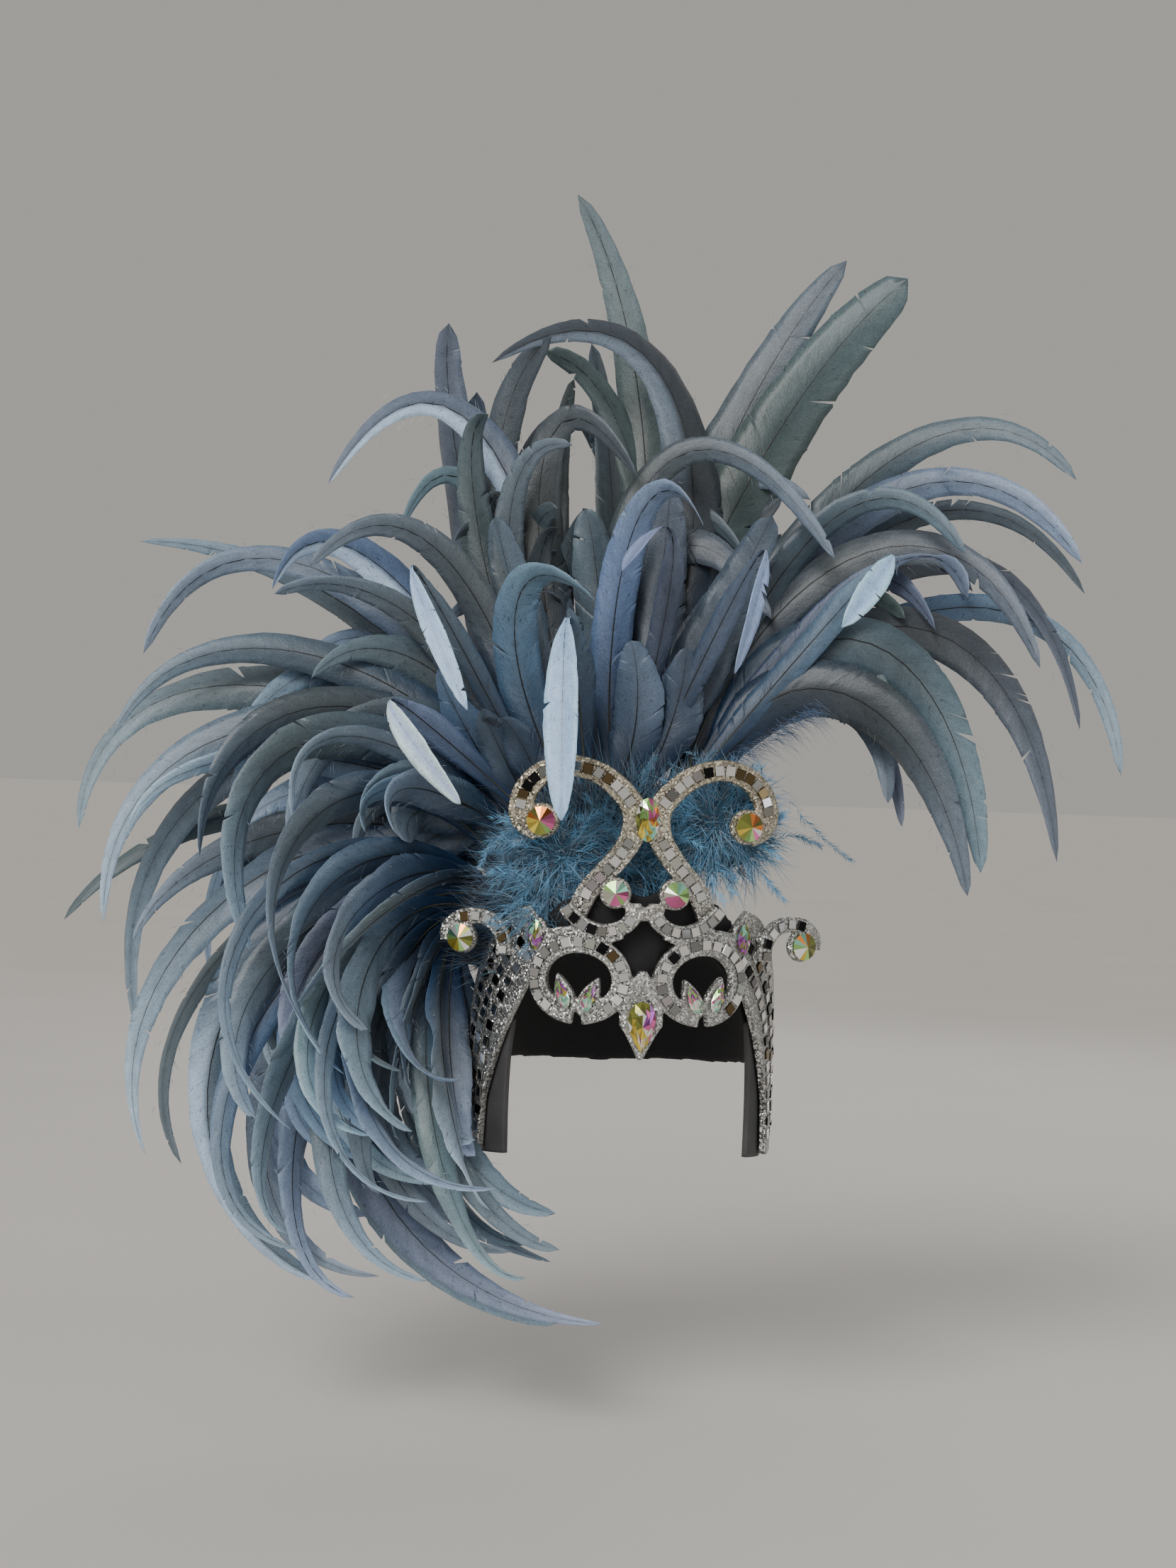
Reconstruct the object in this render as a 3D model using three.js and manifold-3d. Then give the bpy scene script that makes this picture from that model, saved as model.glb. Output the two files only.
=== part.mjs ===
// A showgirl's feather headdress: a pierced glitter crown on a black foam cap, with
// glass stones, rows of small square mirrors, and a one-sided fan of curled cock's
// tail feathers that rises over the top and falls down one side.
//
// Millimetres, +Z up. The origin is inside the top of the cap, where it sits on the
// crown of the head. The front faces -Y, and +X is to the right seen from the front.

import * as THREE from 'three';
import { mergeVertices } from 'three/addons/utils/BufferGeometryUtils.js';
import Module from 'manifold-3d';

const wasm = await Module();
wasm.setup();

// Driving dimensions

const GAP = 0.3;                // clearance between pieces that touch
const HEAD_HALF_WIDTH = 78;     // hollow of the cap
const HEAD_FRONT = 90;
const HEAD_BACK = 98;
const HEAD_HEIGHT = 105;        // from the widest level up to the crown of the head
const CAP_WALL = 4;

const FACE_FRONT = 93;          // bent face that the crown's layers lie on
const FACE_HALF_WIDTH = 88;     // at the temples
const HORN_HALF_WIDTH = 145;    // flatter, up at the horns
const FLATTEN_FROM = -10;       // height where the face starts to flatten
const FLATTEN_OVER = 80;

const FOAM = 5;                 // thickness of one layer of glitter foam
const BACK_LAYER = GAP;         // horns and side panels lie on the black plate
const PANEL_FOAM = 4.5;
const FRONT_LAYER = BACK_LAYER + FOAM + GAP;   // the crown plate lies on the horns
const PLATE_FRONT = 0.6;        // the black plate, behind the face
const PLATE_BACK = 5;

const TILE = 6;                 // square mirrors in rows
const SMALL_TILE = 5.5;
const TILE_HEIGHT = 1.3;
const TILE_GROOVE = 0.5;
const TILE_GAP = 0.6;
const NUDGE = 0.03;             // keeps the faces of pieces that are joined out of one plane
const STONE_SIDES = 8;

const BOARD_FRONT = -62;        // feather board, behind the crown
const BOARD_THICK = 9;
const BINDING_THICK = 12;       // bound roots of each spray, behind the board
const VANE_THICK = 2.4;

// The fan is set out on an upright chart through the origin, seen from one standpoint in
// front. A chart point and a distance behind the chart give a place.
const SIGHT_DISTANCE = 1400;
const SIGHT_HEIGHT = 83;
const SIGHT_ASIDE = 23.8;       // the standpoint is opposite chart x = -23.8
const SIGHT_TURN = THREE.MathUtils.degToRad(6);
const SIGHT_LEAN = THREE.MathUtils.degToRad(2);

const v3 = (x, y, z) => new THREE.Vector3(x, y, z);

// Solids from triangles

function solid(geometry) {
  const bare = geometry.clone();
  bare.deleteAttribute('normal');
  bare.deleteAttribute('uv');
  const merged = mergeVertices(bare, 1e-4);
  const mesh = new wasm.Mesh({
    numProp: 3,
    vertProperties: new Float32Array(merged.attributes.position.array),
    triVerts: new Uint32Array(merged.index.array),
  });
  mesh.merge();
  return new wasm.Manifold(mesh);
}

function fuse(geometries) {
  return geometries.map(solid).reduce((all, next) => all.add(next));
}

function geometryOf(manifold) {
  const mesh = manifold.getMesh();
  const geometry = new THREE.BufferGeometry();
  geometry.setAttribute('position', new THREE.BufferAttribute(mesh.vertProperties, 3));
  geometry.setIndex(new THREE.BufferAttribute(mesh.triVerts, 1));
  return geometry;
}

// A closed skin over a run of sections. Each section is a ring of points, and a section of
// one point closes that end to a tip. A skin that comes out inside out is turned.
function loft(sections) {
  const points = [];
  const triangles = [];
  const starts = sections.map((ring) => {
    const start = points.length;
    points.push(...ring);
    return start;
  });
  for (let i = 0; i + 1 < sections.length; i++) {
    const a = sections[i];
    const b = sections[i + 1];
    const sides = Math.max(a.length, b.length);
    for (let j = 0; j < sides; j++) {
      const k = (j + 1) % sides;
      const a0 = starts[i] + (a.length > 1 ? j : 0);
      const a1 = starts[i] + (a.length > 1 ? k : 0);
      const b0 = starts[i + 1] + (b.length > 1 ? j : 0);
      const b1 = starts[i + 1] + (b.length > 1 ? k : 0);
      if (a.length > 1) triangles.push(a0, a1, b0);
      if (b.length > 1) triangles.push(a1, b1, b0);
    }
  }
  const cap = (start, count, flip) => {
    for (let j = 1; j + 1 < count; j++) {
      if (flip) triangles.push(start, start + j + 1, start + j);
      else triangles.push(start, start + j, start + j + 1);
    }
  };
  cap(starts[0], sections[0].length, true);
  cap(starts.at(-1), sections.at(-1).length, false);
  let volume = 0;
  for (let i = 0; i < triangles.length; i += 3) {
    const [a, b, c] = triangles.slice(i, i + 3).map((index) => points[index]);
    volume += a.dot(b.clone().cross(c));
  }
  const geometry = new THREE.BufferGeometry().setFromPoints(points);
  geometry.setIndex(volume < 0 ? triangles.reverse() : triangles);
  return geometry;
}

// The bent face of the crown

// A point of the face: s is measured round the bend from the centre line, z is height,
// and out is the distance in front of the face.
function face(s, z, out = 0) {
  const flat = THREE.MathUtils.smoothstep(z, FLATTEN_FROM, FLATTEN_FROM + FLATTEN_OVER);
  const halfWidth = THREE.MathUtils.lerp(FACE_HALF_WIDTH, HORN_HALF_WIDTH, flat);
  const angle = s / ((halfWidth + FACE_FRONT) / 2);
  const normal = v3(FACE_FRONT * Math.sin(angle), -halfWidth * Math.cos(angle), 0).normalize();
  return v3(halfWidth * Math.sin(angle), -FACE_FRONT * Math.cos(angle), z)
    .addScaledVector(normal, out);
}

// The turn that stands a flat-made piece on the face: its Y goes up, its Z points out.
function standOn(s, z, out, lean = 0) {
  const along = face(s + 1, z).sub(face(s - 1, z)).normalize();
  const outward = face(s, z, 1).sub(face(s, z));
  const up = outward.clone().cross(along).normalize();
  const turned = along.clone().multiplyScalar(Math.cos(lean)).addScaledVector(up, Math.sin(lean));
  const across = outward.clone().cross(turned);
  return new THREE.Matrix4().makeBasis(turned, across, outward).setPosition(face(s, z, out));
}

// A smooth line through the points of a table of [s, z] rows, sampled evenly.
function line(rows, steps) {
  const curve = new THREE.CatmullRomCurve3(rows.map(([s, z]) => v3(s, z, 0)), false, 'centripetal');
  return curve.getSpacedPoints(steps);
}

// The two edges of a band of the given width along a line.
function edges(points, width) {
  return points.map((point, i) => {
    const before = points[Math.max(i - 1, 0)];
    const after = points[Math.min(i + 1, points.length - 1)];
    const side = v3(before.y - after.y, after.x - before.x, 0).normalize();
    const half = (typeof width === 'function' ? width(i / (points.length - 1)) : width) / 2;
    return [point.clone().addScaledVector(side, half), point.clone().addScaledVector(side, -half)];
  });
}

// A foam band on the face, from out to out + thick. A wide band bends in several strips.
function band(points, width, out, thick, surface = face, strips = 1) {
  return loft(edges(points, width).map(([left, right]) => {
    const across = Array.from({ length: strips + 1 }, (_, i) => left.clone().lerp(right, i / strips));
    return [
      ...across.map(({ x, y }) => surface(x, y, out)),
      ...across.reverse().map(({ x, y }) => surface(x, y, out + thick)),
    ];
  }));
}

// A row of square mirrors as one strip, with a groove between each tile and the next.
function tileStrip(rows, count, width, out, surface = face) {
  const curve = new THREE.CatmullRomCurve3(rows.map(([s, z]) => v3(s, z, 0)), false, 'centripetal');
  const slack = TILE_GAP / 2 / curve.getLength();
  const section = (share, height) => {
    const middle = curve.getPointAt(share);
    const ahead = curve.getTangentAt(share);
    const aside = v3(-ahead.y, ahead.x, 0).setLength(width / 2);
    const left = middle.clone().add(aside);
    const right = middle.clone().sub(aside);
    return [
      surface(left.x, left.y, out),
      surface(right.x, right.y, out),
      surface(right.x, right.y, out + height),
      surface(left.x, left.y, out + height),
    ];
  };
  const sections = [];
  for (let i = 0; i < count; i++) {
    const start = i / count;
    const end = (i + 1) / count;
    sections.push(section(start + slack, TILE_HEIGHT), section(end - slack, TILE_HEIGHT));
    if (i + 1 < count) sections.push(section(end, TILE_GROOVE));
  }
  return loft(sections);
}

const mirrored = (rows, side) => rows.map(([s, ...rest]) => [side * s, ...rest]);

// Stones

// Outlines of cut stones, as points round the girdle for a stone of width w and length l.
const outlines = {
  round: (w, l) => (turn) => v3(w / 2 * Math.cos(turn), l / 2 * Math.sin(turn), 0),
  // Point at the top, round below.
  pear: (w, l) => (turn) => {
    const away = turn - Math.PI / 2;
    const swell = Math.sin(away) * Math.abs(Math.sin(away / 2)) ** 0.8;
    return v3(-w * 0.58 * swell, l / 2 * Math.cos(away), 0);
  },
};

// A cut stone: flat back, girdle, one ring of main facets and a flat table.
function stone(outline, depth, table) {
  const ring = (scale, z) => Array.from({ length: STONE_SIDES }, (_, i) => {
    const point = outline(2 * Math.PI * i / STONE_SIDES + Math.PI / 2);
    return v3(point.x * scale, point.y * scale, z);
  });
  return loft([ring(0.86, 0), ring(1, depth * 0.3), ring(table, depth)]);
}

// A round-edged pad of foam under a stone.
function pad(outline, thick, sides = 12) {
  const ring = (z) => Array.from({ length: sides }, (_, i) => {
    const point = outline(2 * Math.PI * i / sides + Math.PI / 2);
    return v3(point.x, point.y, z);
  });
  return loft([ring(0), ring(thick)]);
}

// The scrollwork, one half, as [s, z] rows. The other half is its mirror image.

const HORN = [
  [50.5, 55.5], [57.5, 60], [59.6, 68], [57, 79], [50, 88], [40, 92.7], [31, 92.6],
  [21, 88.5], [12.5, 80.5], [6.6, 71.5], [5.2, 63], [7, 53], [12, 43.5], [19, 34], [27.8, 24],
  [34.4, 13], [39, 4],
];
const STEM_ROW = [...HORN.slice(11, 15), [31, 18.5]];
const HORN_STONE = [48.9, 61.5];
const MID_SCROLL = [[6, 17], [6, 9], [11.5, 3], [21, 0.5], [31, 3.5], [37.5, 9.5], [40.5, 14]];
const MID_STONE = [14.6, 22.3];
const RING_CENTRE = [34, -27];
const RING_ACROSS = 23.2;       // half width and half height of the ring's middle line
const RING_UP = 20.2;
const RING_BAND = 10.8;
const EAR_SCROLL = [[-26, -9], [-25, 2], [-18, 10.5], [-8, 13], [2, 11.5], [9, 5], [9, -2]];
const PENDANT_TOP = -36;
const TEMPLE_STONE = [57.5, -3];
const SIDE_PANEL = [[56, 2], [70, -7], [86, -24], [104, -54], [114, -92], [118, -132]];
const sidePanelWidth = (along) => 26 + 18 * Math.sin(Math.PI * Math.min(along * 1.25, 1)) - 4 * along;

// Colours, roughness and metal

const GLITTER = { color: 0xc4c4c0, roughness: 0.4, metalness: 0.6 };
const MIRROR = { color: 0xb9bcbd, roughness: 0.08, metalness: 1.0 };
const STONE = { color: 0xc9b06a, roughness: 0.08, metalness: 0.35 };
const BLACK_FOAM = { color: 0x17171a, roughness: 0.85, metalness: 0.0 };
const GREY_FOAM = { color: 0x4b4c4d, roughness: 0.7, metalness: 0.1 };
const FEATHER = { color: 0x5f7585, roughness: 0.6, metalness: 0.0 };
const FLUFF = { color: 0x3f7286, roughness: 0.9, metalness: 0.0 };

const headdress = new THREE.Group();
headdress.name = 'feather_headdress';

function addNode(name, body, look) {
  const geometry = body.isBufferGeometry ? body : geometryOf(body);
  const mesh = new THREE.Mesh(geometry, new THREE.MeshStandardMaterial(look));
  mesh.name = name;
  headdress.add(mesh);
}

// The cap

// A point of the dome at one turn round the head and one depth below the top. The dome is
// an ellipse in plan, and in section it is boxier towards the front.
function domePoint(turn, down, grow) {
  const front = Math.cos(turn) > 0;
  const boxy = 2.6 + (front ? 3.4 * Math.cos(turn) ** 2 : 0);
  const reach = (front ? HEAD_FRONT : HEAD_BACK) + grow;
  const drop = down / HEAD_HEIGHT;
  const part = Math.pow(1 - Math.pow(1 - drop, boxy), 1 / boxy);
  return v3(
    (HEAD_HALF_WIDTH + grow) * Math.sin(turn) * part,
    -reach * Math.cos(turn) * part,
    grow - down * (1 + grow / HEAD_HEIGHT),
  );
}

// How far down the rim comes: a short peak at the front, clear of the brow beside it, low
// over the ears, and to the nape at the back.
function rimDepth(turn) {
  const degrees = Math.abs(THREE.MathUtils.radToDeg(turn));
  const rim = [[0, 27], [9, 24], [15, 10], [34, 10], [48, 24], [64, 62], [90, 84], [120, 90], [180, 96]];
  const next = Math.max(rim.findIndex(([at]) => at >= degrees), 1);
  const [a, low] = rim[next - 1];
  const [b, high] = rim[next];
  return THREE.MathUtils.lerp(low, high, (degrees - a) / (b - a));
}

function dome(grow) {
  const rounds = 24;
  const steps = 5;
  const rings = [[v3(0, 0, grow)]];
  for (let j = 1; j <= steps; j++) {
    rings.push(Array.from({ length: rounds }, (_, i) => {
      const turn = 2 * Math.PI * i / rounds - Math.PI;
      return domePoint(turn, rimDepth(turn) * Math.pow(j / steps, 1.6), grow);
    }));
  }
  return rings;
}

const capShell = () => loft([...dome(0), ...dome(CAP_WALL).reverse()]);

// The whole room that the cap takes up, for trimming what stands on it.
function capBlock() {
  const rings = dome(CAP_WALL + GAP);
  const below = rings.at(-1).map((point) => point.clone().add(v3(0, 0, -60)));
  return solid(loft([...rings, below].reverse()));
}

// The black plate behind the crown: wide and low, with a peak behind the lozenge.
function blackPlate() {
  const rows = [
    { s: -62, low: -8, high: 4 }, { s: -46, low: -8, high: 16 }, { s: -30, low: -8, high: 22 },
    { s: -16, low: -8, high: 26 }, { s: -9, low: -20, high: 24 }, { s: 0, low: -27, high: 20 },
    { s: 9, low: -20, high: 24 }, { s: 16, low: -8, high: 26 }, { s: 30, low: -8, high: 22 },
    { s: 46, low: -8, high: 16 }, { s: 62, low: -8, high: 4 },
  ];
  return loft(rows.map(({ s, low, high }) => [
    face(s, low, -PLATE_BACK),
    face(s, high, -PLATE_BACK),
    face(s, high, -PLATE_FRONT),
    face(s, low, -PLATE_FRONT),
  ]));
}

addNode('skull_cap', solid(capShell()).add(solid(blackPlate())), BLACK_FOAM);

// The crown: layers of glitter foam

const HORN_STEPS = 26;
const hornBand = (along) => 12.6 - 1.6 * along;

function horns() {
  const parts = [];
  for (const side of [-1, 1]) {
    parts.push(band(line(mirrored(HORN, side), HORN_STEPS), hornBand, BACK_LAYER, FOAM));
    const rest = standOn(side * HORN_STONE[0], HORN_STONE[1], BACK_LAYER + NUDGE);
    parts.push(pad(outlines.round(20.5, 20.5), FOAM).applyMatrix4(rest));
  }
  return fuse(parts);
}

const ringPoint = (side, turn, grow = 0) => v3(
  side * (RING_CENTRE[0] + (RING_ACROSS + grow) * Math.sin(turn)),
  RING_CENTRE[1] - (RING_UP + grow) * Math.cos(turn),
  0,
);

// The two pears that fill the foot of each ring, and the stones on them.
const PEARS = [
  { name: 'inner', s: 27.3, z: -36.5, lean: 0.42 },
  { name: 'outer', s: 41.6, z: -35.5, lean: -0.36 },
];

function crownPlate() {
  const parts = [];
  const layer = (step) => FRONT_LAYER + step * NUDGE;
  for (const side of [-1, 1]) {
    const slit = 0.1;
    const ring = Array.from({ length: 21 }, (_, i) =>
      ringPoint(side, slit + (2 * Math.PI - 2 * slit) * i / 20));
    parts.push(band(ring, RING_BAND, layer(0), FOAM));
    parts.push(band(line(mirrored(MID_SCROLL, side), 10), 8.6, layer(1), FOAM));
    const rest = standOn(side * MID_STONE[0], MID_STONE[1], layer(2));
    parts.push(pad(outlines.round(17.2, 17.2), FOAM).applyMatrix4(rest));
    for (const { s, z, lean } of PEARS) {
      const seat = standOn(side * s, z, layer(3), side * lean);
      parts.push(pad(outlines.pear(13, 25), FOAM - 0.4).applyMatrix4(seat));
    }
    // The neck that carries each ring to the mid scroll and out to the temple.
    const neck = [[side * 12, 1], [side * 24, -3], [side * 40, -2], [side * 55, -5]];
    parts.push(band(line(neck, 5), 9, layer(-1), FOAM));
    const temple = standOn(side * TEMPLE_STONE[0], TEMPLE_STONE[1], layer(0) + 1);
    parts.push(pad(outlines.round(14, 19), FOAM - 1).applyMatrix4(temple));
  }
  const middle = [[0, -21], [0, -30], [0, PENDANT_TOP], [0, -50], [0, -60], [0, -70]];
  // The pendant widens from the rings' meeting point, and narrows to its tip.
  const pendantWidth = (along) =>
    (along < 0.3 ? 4 + 50 * along : 24 - 44 * Math.max(along - 0.62, 0) ** 0.8);
  parts.push(band(line(middle, 8), pendantWidth, layer(4), FOAM));
  const bridge = [[-8, 12], [0, 11], [8, 12]];
  parts.push(band(line(bridge, 2), 8, layer(5), FOAM));
  return fuse(parts);
}

addNode('horn_scrolls', horns(), GLITTER);
addNode('crown_plate', crownPlate(), GLITTER);

// The side panels, and the grey straps inside them

const panelBand = (side, grow = 0) => band(
  line(mirrored(SIDE_PANEL, side), 9),
  (along) => sidePanelWidth(along) + 2 * grow,
  BACK_LAYER - grow,
  PANEL_FOAM + 2 * grow,
  face,
  3,
);

const EAR_SEAT = { aside: 98, forward: 50, height: -8, turn: THREE.MathUtils.degToRad(25) };

// The flat plane of one ear scroll: u runs outwards, w up, and out is forwards.
const earPlane = (side) => (u, w, out) => v3(
  side * (EAR_SEAT.aside + u * Math.cos(EAR_SEAT.turn) + out * Math.sin(EAR_SEAT.turn)),
  -EAR_SEAT.forward + u * Math.sin(EAR_SEAT.turn) - out * Math.cos(EAR_SEAT.turn),
  EAR_SEAT.height + w,
);

const earStand = (side, out) => new THREE.Matrix4().makeBasis(
  v3(Math.cos(EAR_SEAT.turn), side * Math.sin(EAR_SEAT.turn), 0),
  v3(0, 0, 1),
  v3(side * Math.sin(EAR_SEAT.turn), -Math.cos(EAR_SEAT.turn), 0),
).setPosition(earPlane(side)(0, 0, out));

function earScroll(side) {
  const arm = band(line(EAR_SCROLL, 16), (along) => 9.6 - along, 0, FOAM, earPlane(side));
  const rest = pad(outlines.round(18.5, 18.5), FOAM).applyMatrix4(earStand(side, NUDGE));
  return fuse([arm, rest]).subtract(solid(panelBand(side, GAP)));
}

const STRAP = [[104, -52], [106, -76], [105, -104], [102, -134]];
const strapWidth = (along) => 44 - 14 * along;

function innerStrap(side) {
  const strap = solid(band(line(mirrored(STRAP, side), 8), strapWidth, -4.3, 3.6));
  return strap.subtract(capBlock());
}

// The feather board behind the crown

// How far forward the board's front is: it follows the side of the head at the left.
const boardFront = (x) => BOARD_FRONT + 46 * THREE.MathUtils.smoothstep(-x, 42, 98);
const boardFace = (x, z, back) => v3(x, boardFront(x) + back, z);
const RAIL = [[38, 60], [20, 66], [-12, 68], [-42, 58], [-60, 38], [-71, 12], [-76, -12], [-77, -28]];
const RAIL_WIDTH = 22;
const WEB_WIDTH = 84;
const ROOTS = [[42, 66], [22, 74], [-12, 77], [-47, 67], [-72, 46], [-88, 18], [-96, -8], [-98, -26]];

// The same line, longer by a little at both ends.
function lengthened(points, by) {
  const step = (from, to) => from.clone().sub(to).setLength(by);
  return [
    points[0].clone().add(step(points[0], points[1])),
    ...points.slice(1, -1),
    points.at(-1).clone().add(step(points.at(-1), points.at(-2))),
  ];
}

function featherBoard(grow = 0) {
  const thick = BOARD_THICK + 2 * grow;
  const foot = lengthened(line(RAIL, 14), grow);
  const rail = band(foot, RAIL_WIDTH + 2 * grow, -grow, thick, boardFace, 2);
  const upright = lengthened([v3(0, -12, 0), v3(-6, 20, 0), v3(-8, 58, 0)], grow);
  const web = band(upright, WEB_WIDTH + 2 * grow, 0.1 - grow, thick - 0.2, boardFace, 4);
  return fuse([rail, web]).subtract(capBlock());
}

// Feathers

// A place from a chart point and its distance behind the chart.
function sight(chartX, chartZ, behind) {
  const aside = chartX + SIGHT_ASIDE;
  const above = chartZ - SIGHT_HEIGHT;
  const level = aside * Math.cos(SIGHT_LEAN) - above * Math.sin(SIGHT_LEAN);
  const upright = aside * Math.sin(SIGHT_LEAN) + above * Math.cos(SIGHT_LEAN);
  const ahead = v3(Math.sin(SIGHT_TURN), Math.cos(SIGHT_TURN), 0);
  const right = v3(Math.cos(SIGHT_TURN), -Math.sin(SIGHT_TURN), 0);
  const spread = (SIGHT_DISTANCE + behind) / SIGHT_DISTANCE;
  return standpoint()
    .addScaledVector(ahead, SIGHT_DISTANCE + behind)
    .addScaledVector(right, level * spread)
    .add(v3(0, 0, upright * spread));
}

function standpoint() {
  const ahead = v3(Math.sin(SIGHT_TURN), Math.cos(SIGHT_TURN), 0);
  const right = v3(Math.cos(SIGHT_TURN), -Math.sin(SIGHT_TURN), 0);
  return v3(0, 0, SIGHT_HEIGHT).addScaledVector(ahead, -SIGHT_DISTANCE).addScaledVector(right, -SIGHT_ASIDE);
}

const BINDING_FRONT = BOARD_THICK - 3;   // then cut back to the board
const BINDING_WIDTH = 24;
const ROOT_BACK = BOARD_THICK + 5;
const rootLine = new THREE.CatmullRomCurve3(ROOTS.map(([x, z]) => boardFace(x, z, ROOT_BACK)));

// Half-widths of the vane, as a share of its full half-width, along its length.
const VANE = [[0, 0.18], [0.14, 0.42], [0.36, 0.9], [0.58, 1], [0.78, 0.84], [0.93, 0.46]];

function feather([at, archX, archZ, tipX, tipZ, round, archBehind, tipBehind, wide]) {
  const root = rootLine.getPointAt(at);
  const arch = sight(archX, archZ, archBehind);
  const tip = sight(tipX, tipZ, tipBehind);
  const mean = arch.clone().multiplyScalar(8).sub(root).sub(tip).divideScalar(6);
  const span = tip.clone().sub(root);
  const rise = mean.clone().addScaledVector(span, -round);
  const fall = mean.clone().addScaledVector(span, round);
  const quill = new THREE.CubicBezierCurve3(root, rise, fall, tip);
  const sections = VANE.map(([along, share]) => {
    const middle = quill.getPointAt(along);
    const tangent = quill.getTangentAt(along);
    const toward = standpoint().sub(middle).normalize();
    const side = tangent.clone().cross(toward).normalize();
    const lift = side.clone().cross(tangent).normalize();
    const half = share * wide / 2;
    return [
      middle.clone().addScaledVector(side, half),
      middle.clone().addScaledVector(lift, VANE_THICK),
      middle.clone().addScaledVector(side, -half),
    ];
  });
  return loft([...sections, [tip]]);
}

// One spray: its bound roots behind the board, and its feathers fused to them.
function spray(from, to, rows) {
  const bound = Array.from({ length: 7 }, (_, i) => {
    const { x, z } = rootLine.getPointAt(from + (to - from) * i / 6);
    return v3(x, z, 0);
  });
  const roots = band(bound, BINDING_WIDTH, BINDING_FRONT, BINDING_THICK, boardFace, 2);
  return fuse([roots, ...rows.map(feather)]).subtract(featherBoard(2 * GAP)).subtract(capBlock());
}

// Each row: place of the root along the board from right to left, chart x and z where the
// feather arches over, chart x and z of its tip, roundness of the arch, distance behind
// the chart at the arch and at the tip, and width of the vane.
const RIGHT_SPRAY = [
  [0.11, 150, 272, 272, 267, 0.25, 10, -30, 18],
  [0.12, 148, 252, 275, 217, 0.25, -5, -45, 17],
  [0.105, 158, 238, 277, 198, 0.25, 12, -20, 12],
  [0.1, 120, 240, 205, 222, 0.2, -20, -60, 14],
  [0.1, 152, 214, 130, 178, 0.15, -55, -110, 11],
  [0.1, 145, 207, 206, 196, 0.2, -35, -65, 10],
  [0.09, 142, 222, 250, 153, 0.3, -22, -60, 18],
  [0.08, 175, 218, 274, 116, 0.3, 16, -10, 16],
  [0.06, 200, 190, 299, 88, 0.3, 14, -20, 13],
  [0.05, 172, 178, 260, 36, 0.3, -20, -50, 20],
  [0.03, 140, 170, 214, 29, 0.35, -36, -60, 24],
  [0.015, 128, 139, 206, 15, 0.35, -50, -75, 22],
];
const CREST = [
  [0.3, 12, 262, -30, 440, 0.3, 32, 40, 22],
  [0.22, 58, 245, 133, 400, 0.25, 20, 30, 26],
  [0.19, 92, 245, 170, 389, 0.25, 8, 18, 25],
  [0.28, 34, 300, -82, 338, 0.35, 8, -20, 20],
  [0.36, -68, 225, -50, 352, 0.3, 0, -10, 17],
  [0.41, -92, 225, -108, 362, 0.3, 22, 22, 25],
  [0.39, -86, 292, -181, 265, 0.25, 2, -30, 16],
  [0.4, -88, 225, -84, 307, 0.3, -14, -30, 18],
  [0.33, -52, 272, 6, 269, 0.35, -12, -40, 22],
  [0.37, -72, 225, -33, 288, 0.3, -30, -50, 14],
  [0.38, -68, 185, -20, 194, 0.35, -52, -85, 18],
  [0.34, -36, 184, -40, 61, 0.1, -95, -150, 15],
  [0.27, 2, 232, 46, 240, 0.3, -42, -75, 16],
  [0.24, 28, 225, -3, 212, 0.15, -62, -100, 10],
  [0.26, 18, 272, 126, 219, 0.3, -20, -50, 14],
  [0.2, 80, 222, 65, 150, 0.1, -72, -115, 10],
  [0.31, -15, 160, -25, 250, 0.3, -34, -32, 24],
  [0.2, 48, 165, 88, 245, 0.3, -38, -44, 24],
  [0.25, 14, 165, 26, 262, 0.3, -28, -22, 24],
  [0.36, -55, 150, -80, 245, 0.3, -34, -34, 24],
];
const LEFT_SPRAY = [
  [0.46, -165, 188, -295, 230, 0.2, 26, 20, 15],
  [0.45, -188, 213, -293, 162, 0.25, 0, -30, 15],
  [0.44, -150, 215, -215, 201, 0.2, -20, -60, 18],
  [0.44, -112, 222, -193, 214, 0.2, -34, -62, 15],
  [0.45, -128, 213, -97, 128, 0.15, -64, -122, 9],
  [0.48, -125, 180, -214, 198, 0.2, -44, -72, 14],
  [0.52, -195, 162, -311, 112, 0.3, -22, -42, 16],
  [0.55, -235, 143, -332, 56, 0.3, -8, -20, 20],
  [0.6, -225, 117, -317, -1, 0.35, -32, -52, 20],
  [0.58, -210, 100, -303, 52, 0.3, -52, -72, 14],
  [0.56, -182, 130, -259, 39, 0.35, -52, -82, 16],
  [0.62, -195, 108, -228, -18, 0.4, -70, -90, 18],
  [0.6, -165, 112, -201, 58, 0.3, -76, -100, 10],
  [0.68, -188, 64, -192, -69, 0.45, -94, -120, 16],
  [0.5, -142, 134, -101, 71, 0.15, -80, -128, 12],
  [0.65, -235, 92, -295, -72, 0.4, 26, 16, 14],
  [0.66, -215, 70, -341, 1, 0.3, 44, 34, 13],
  [0.7, -205, 55, -300, -13, 0.3, 10, -6, 18],
];
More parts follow.
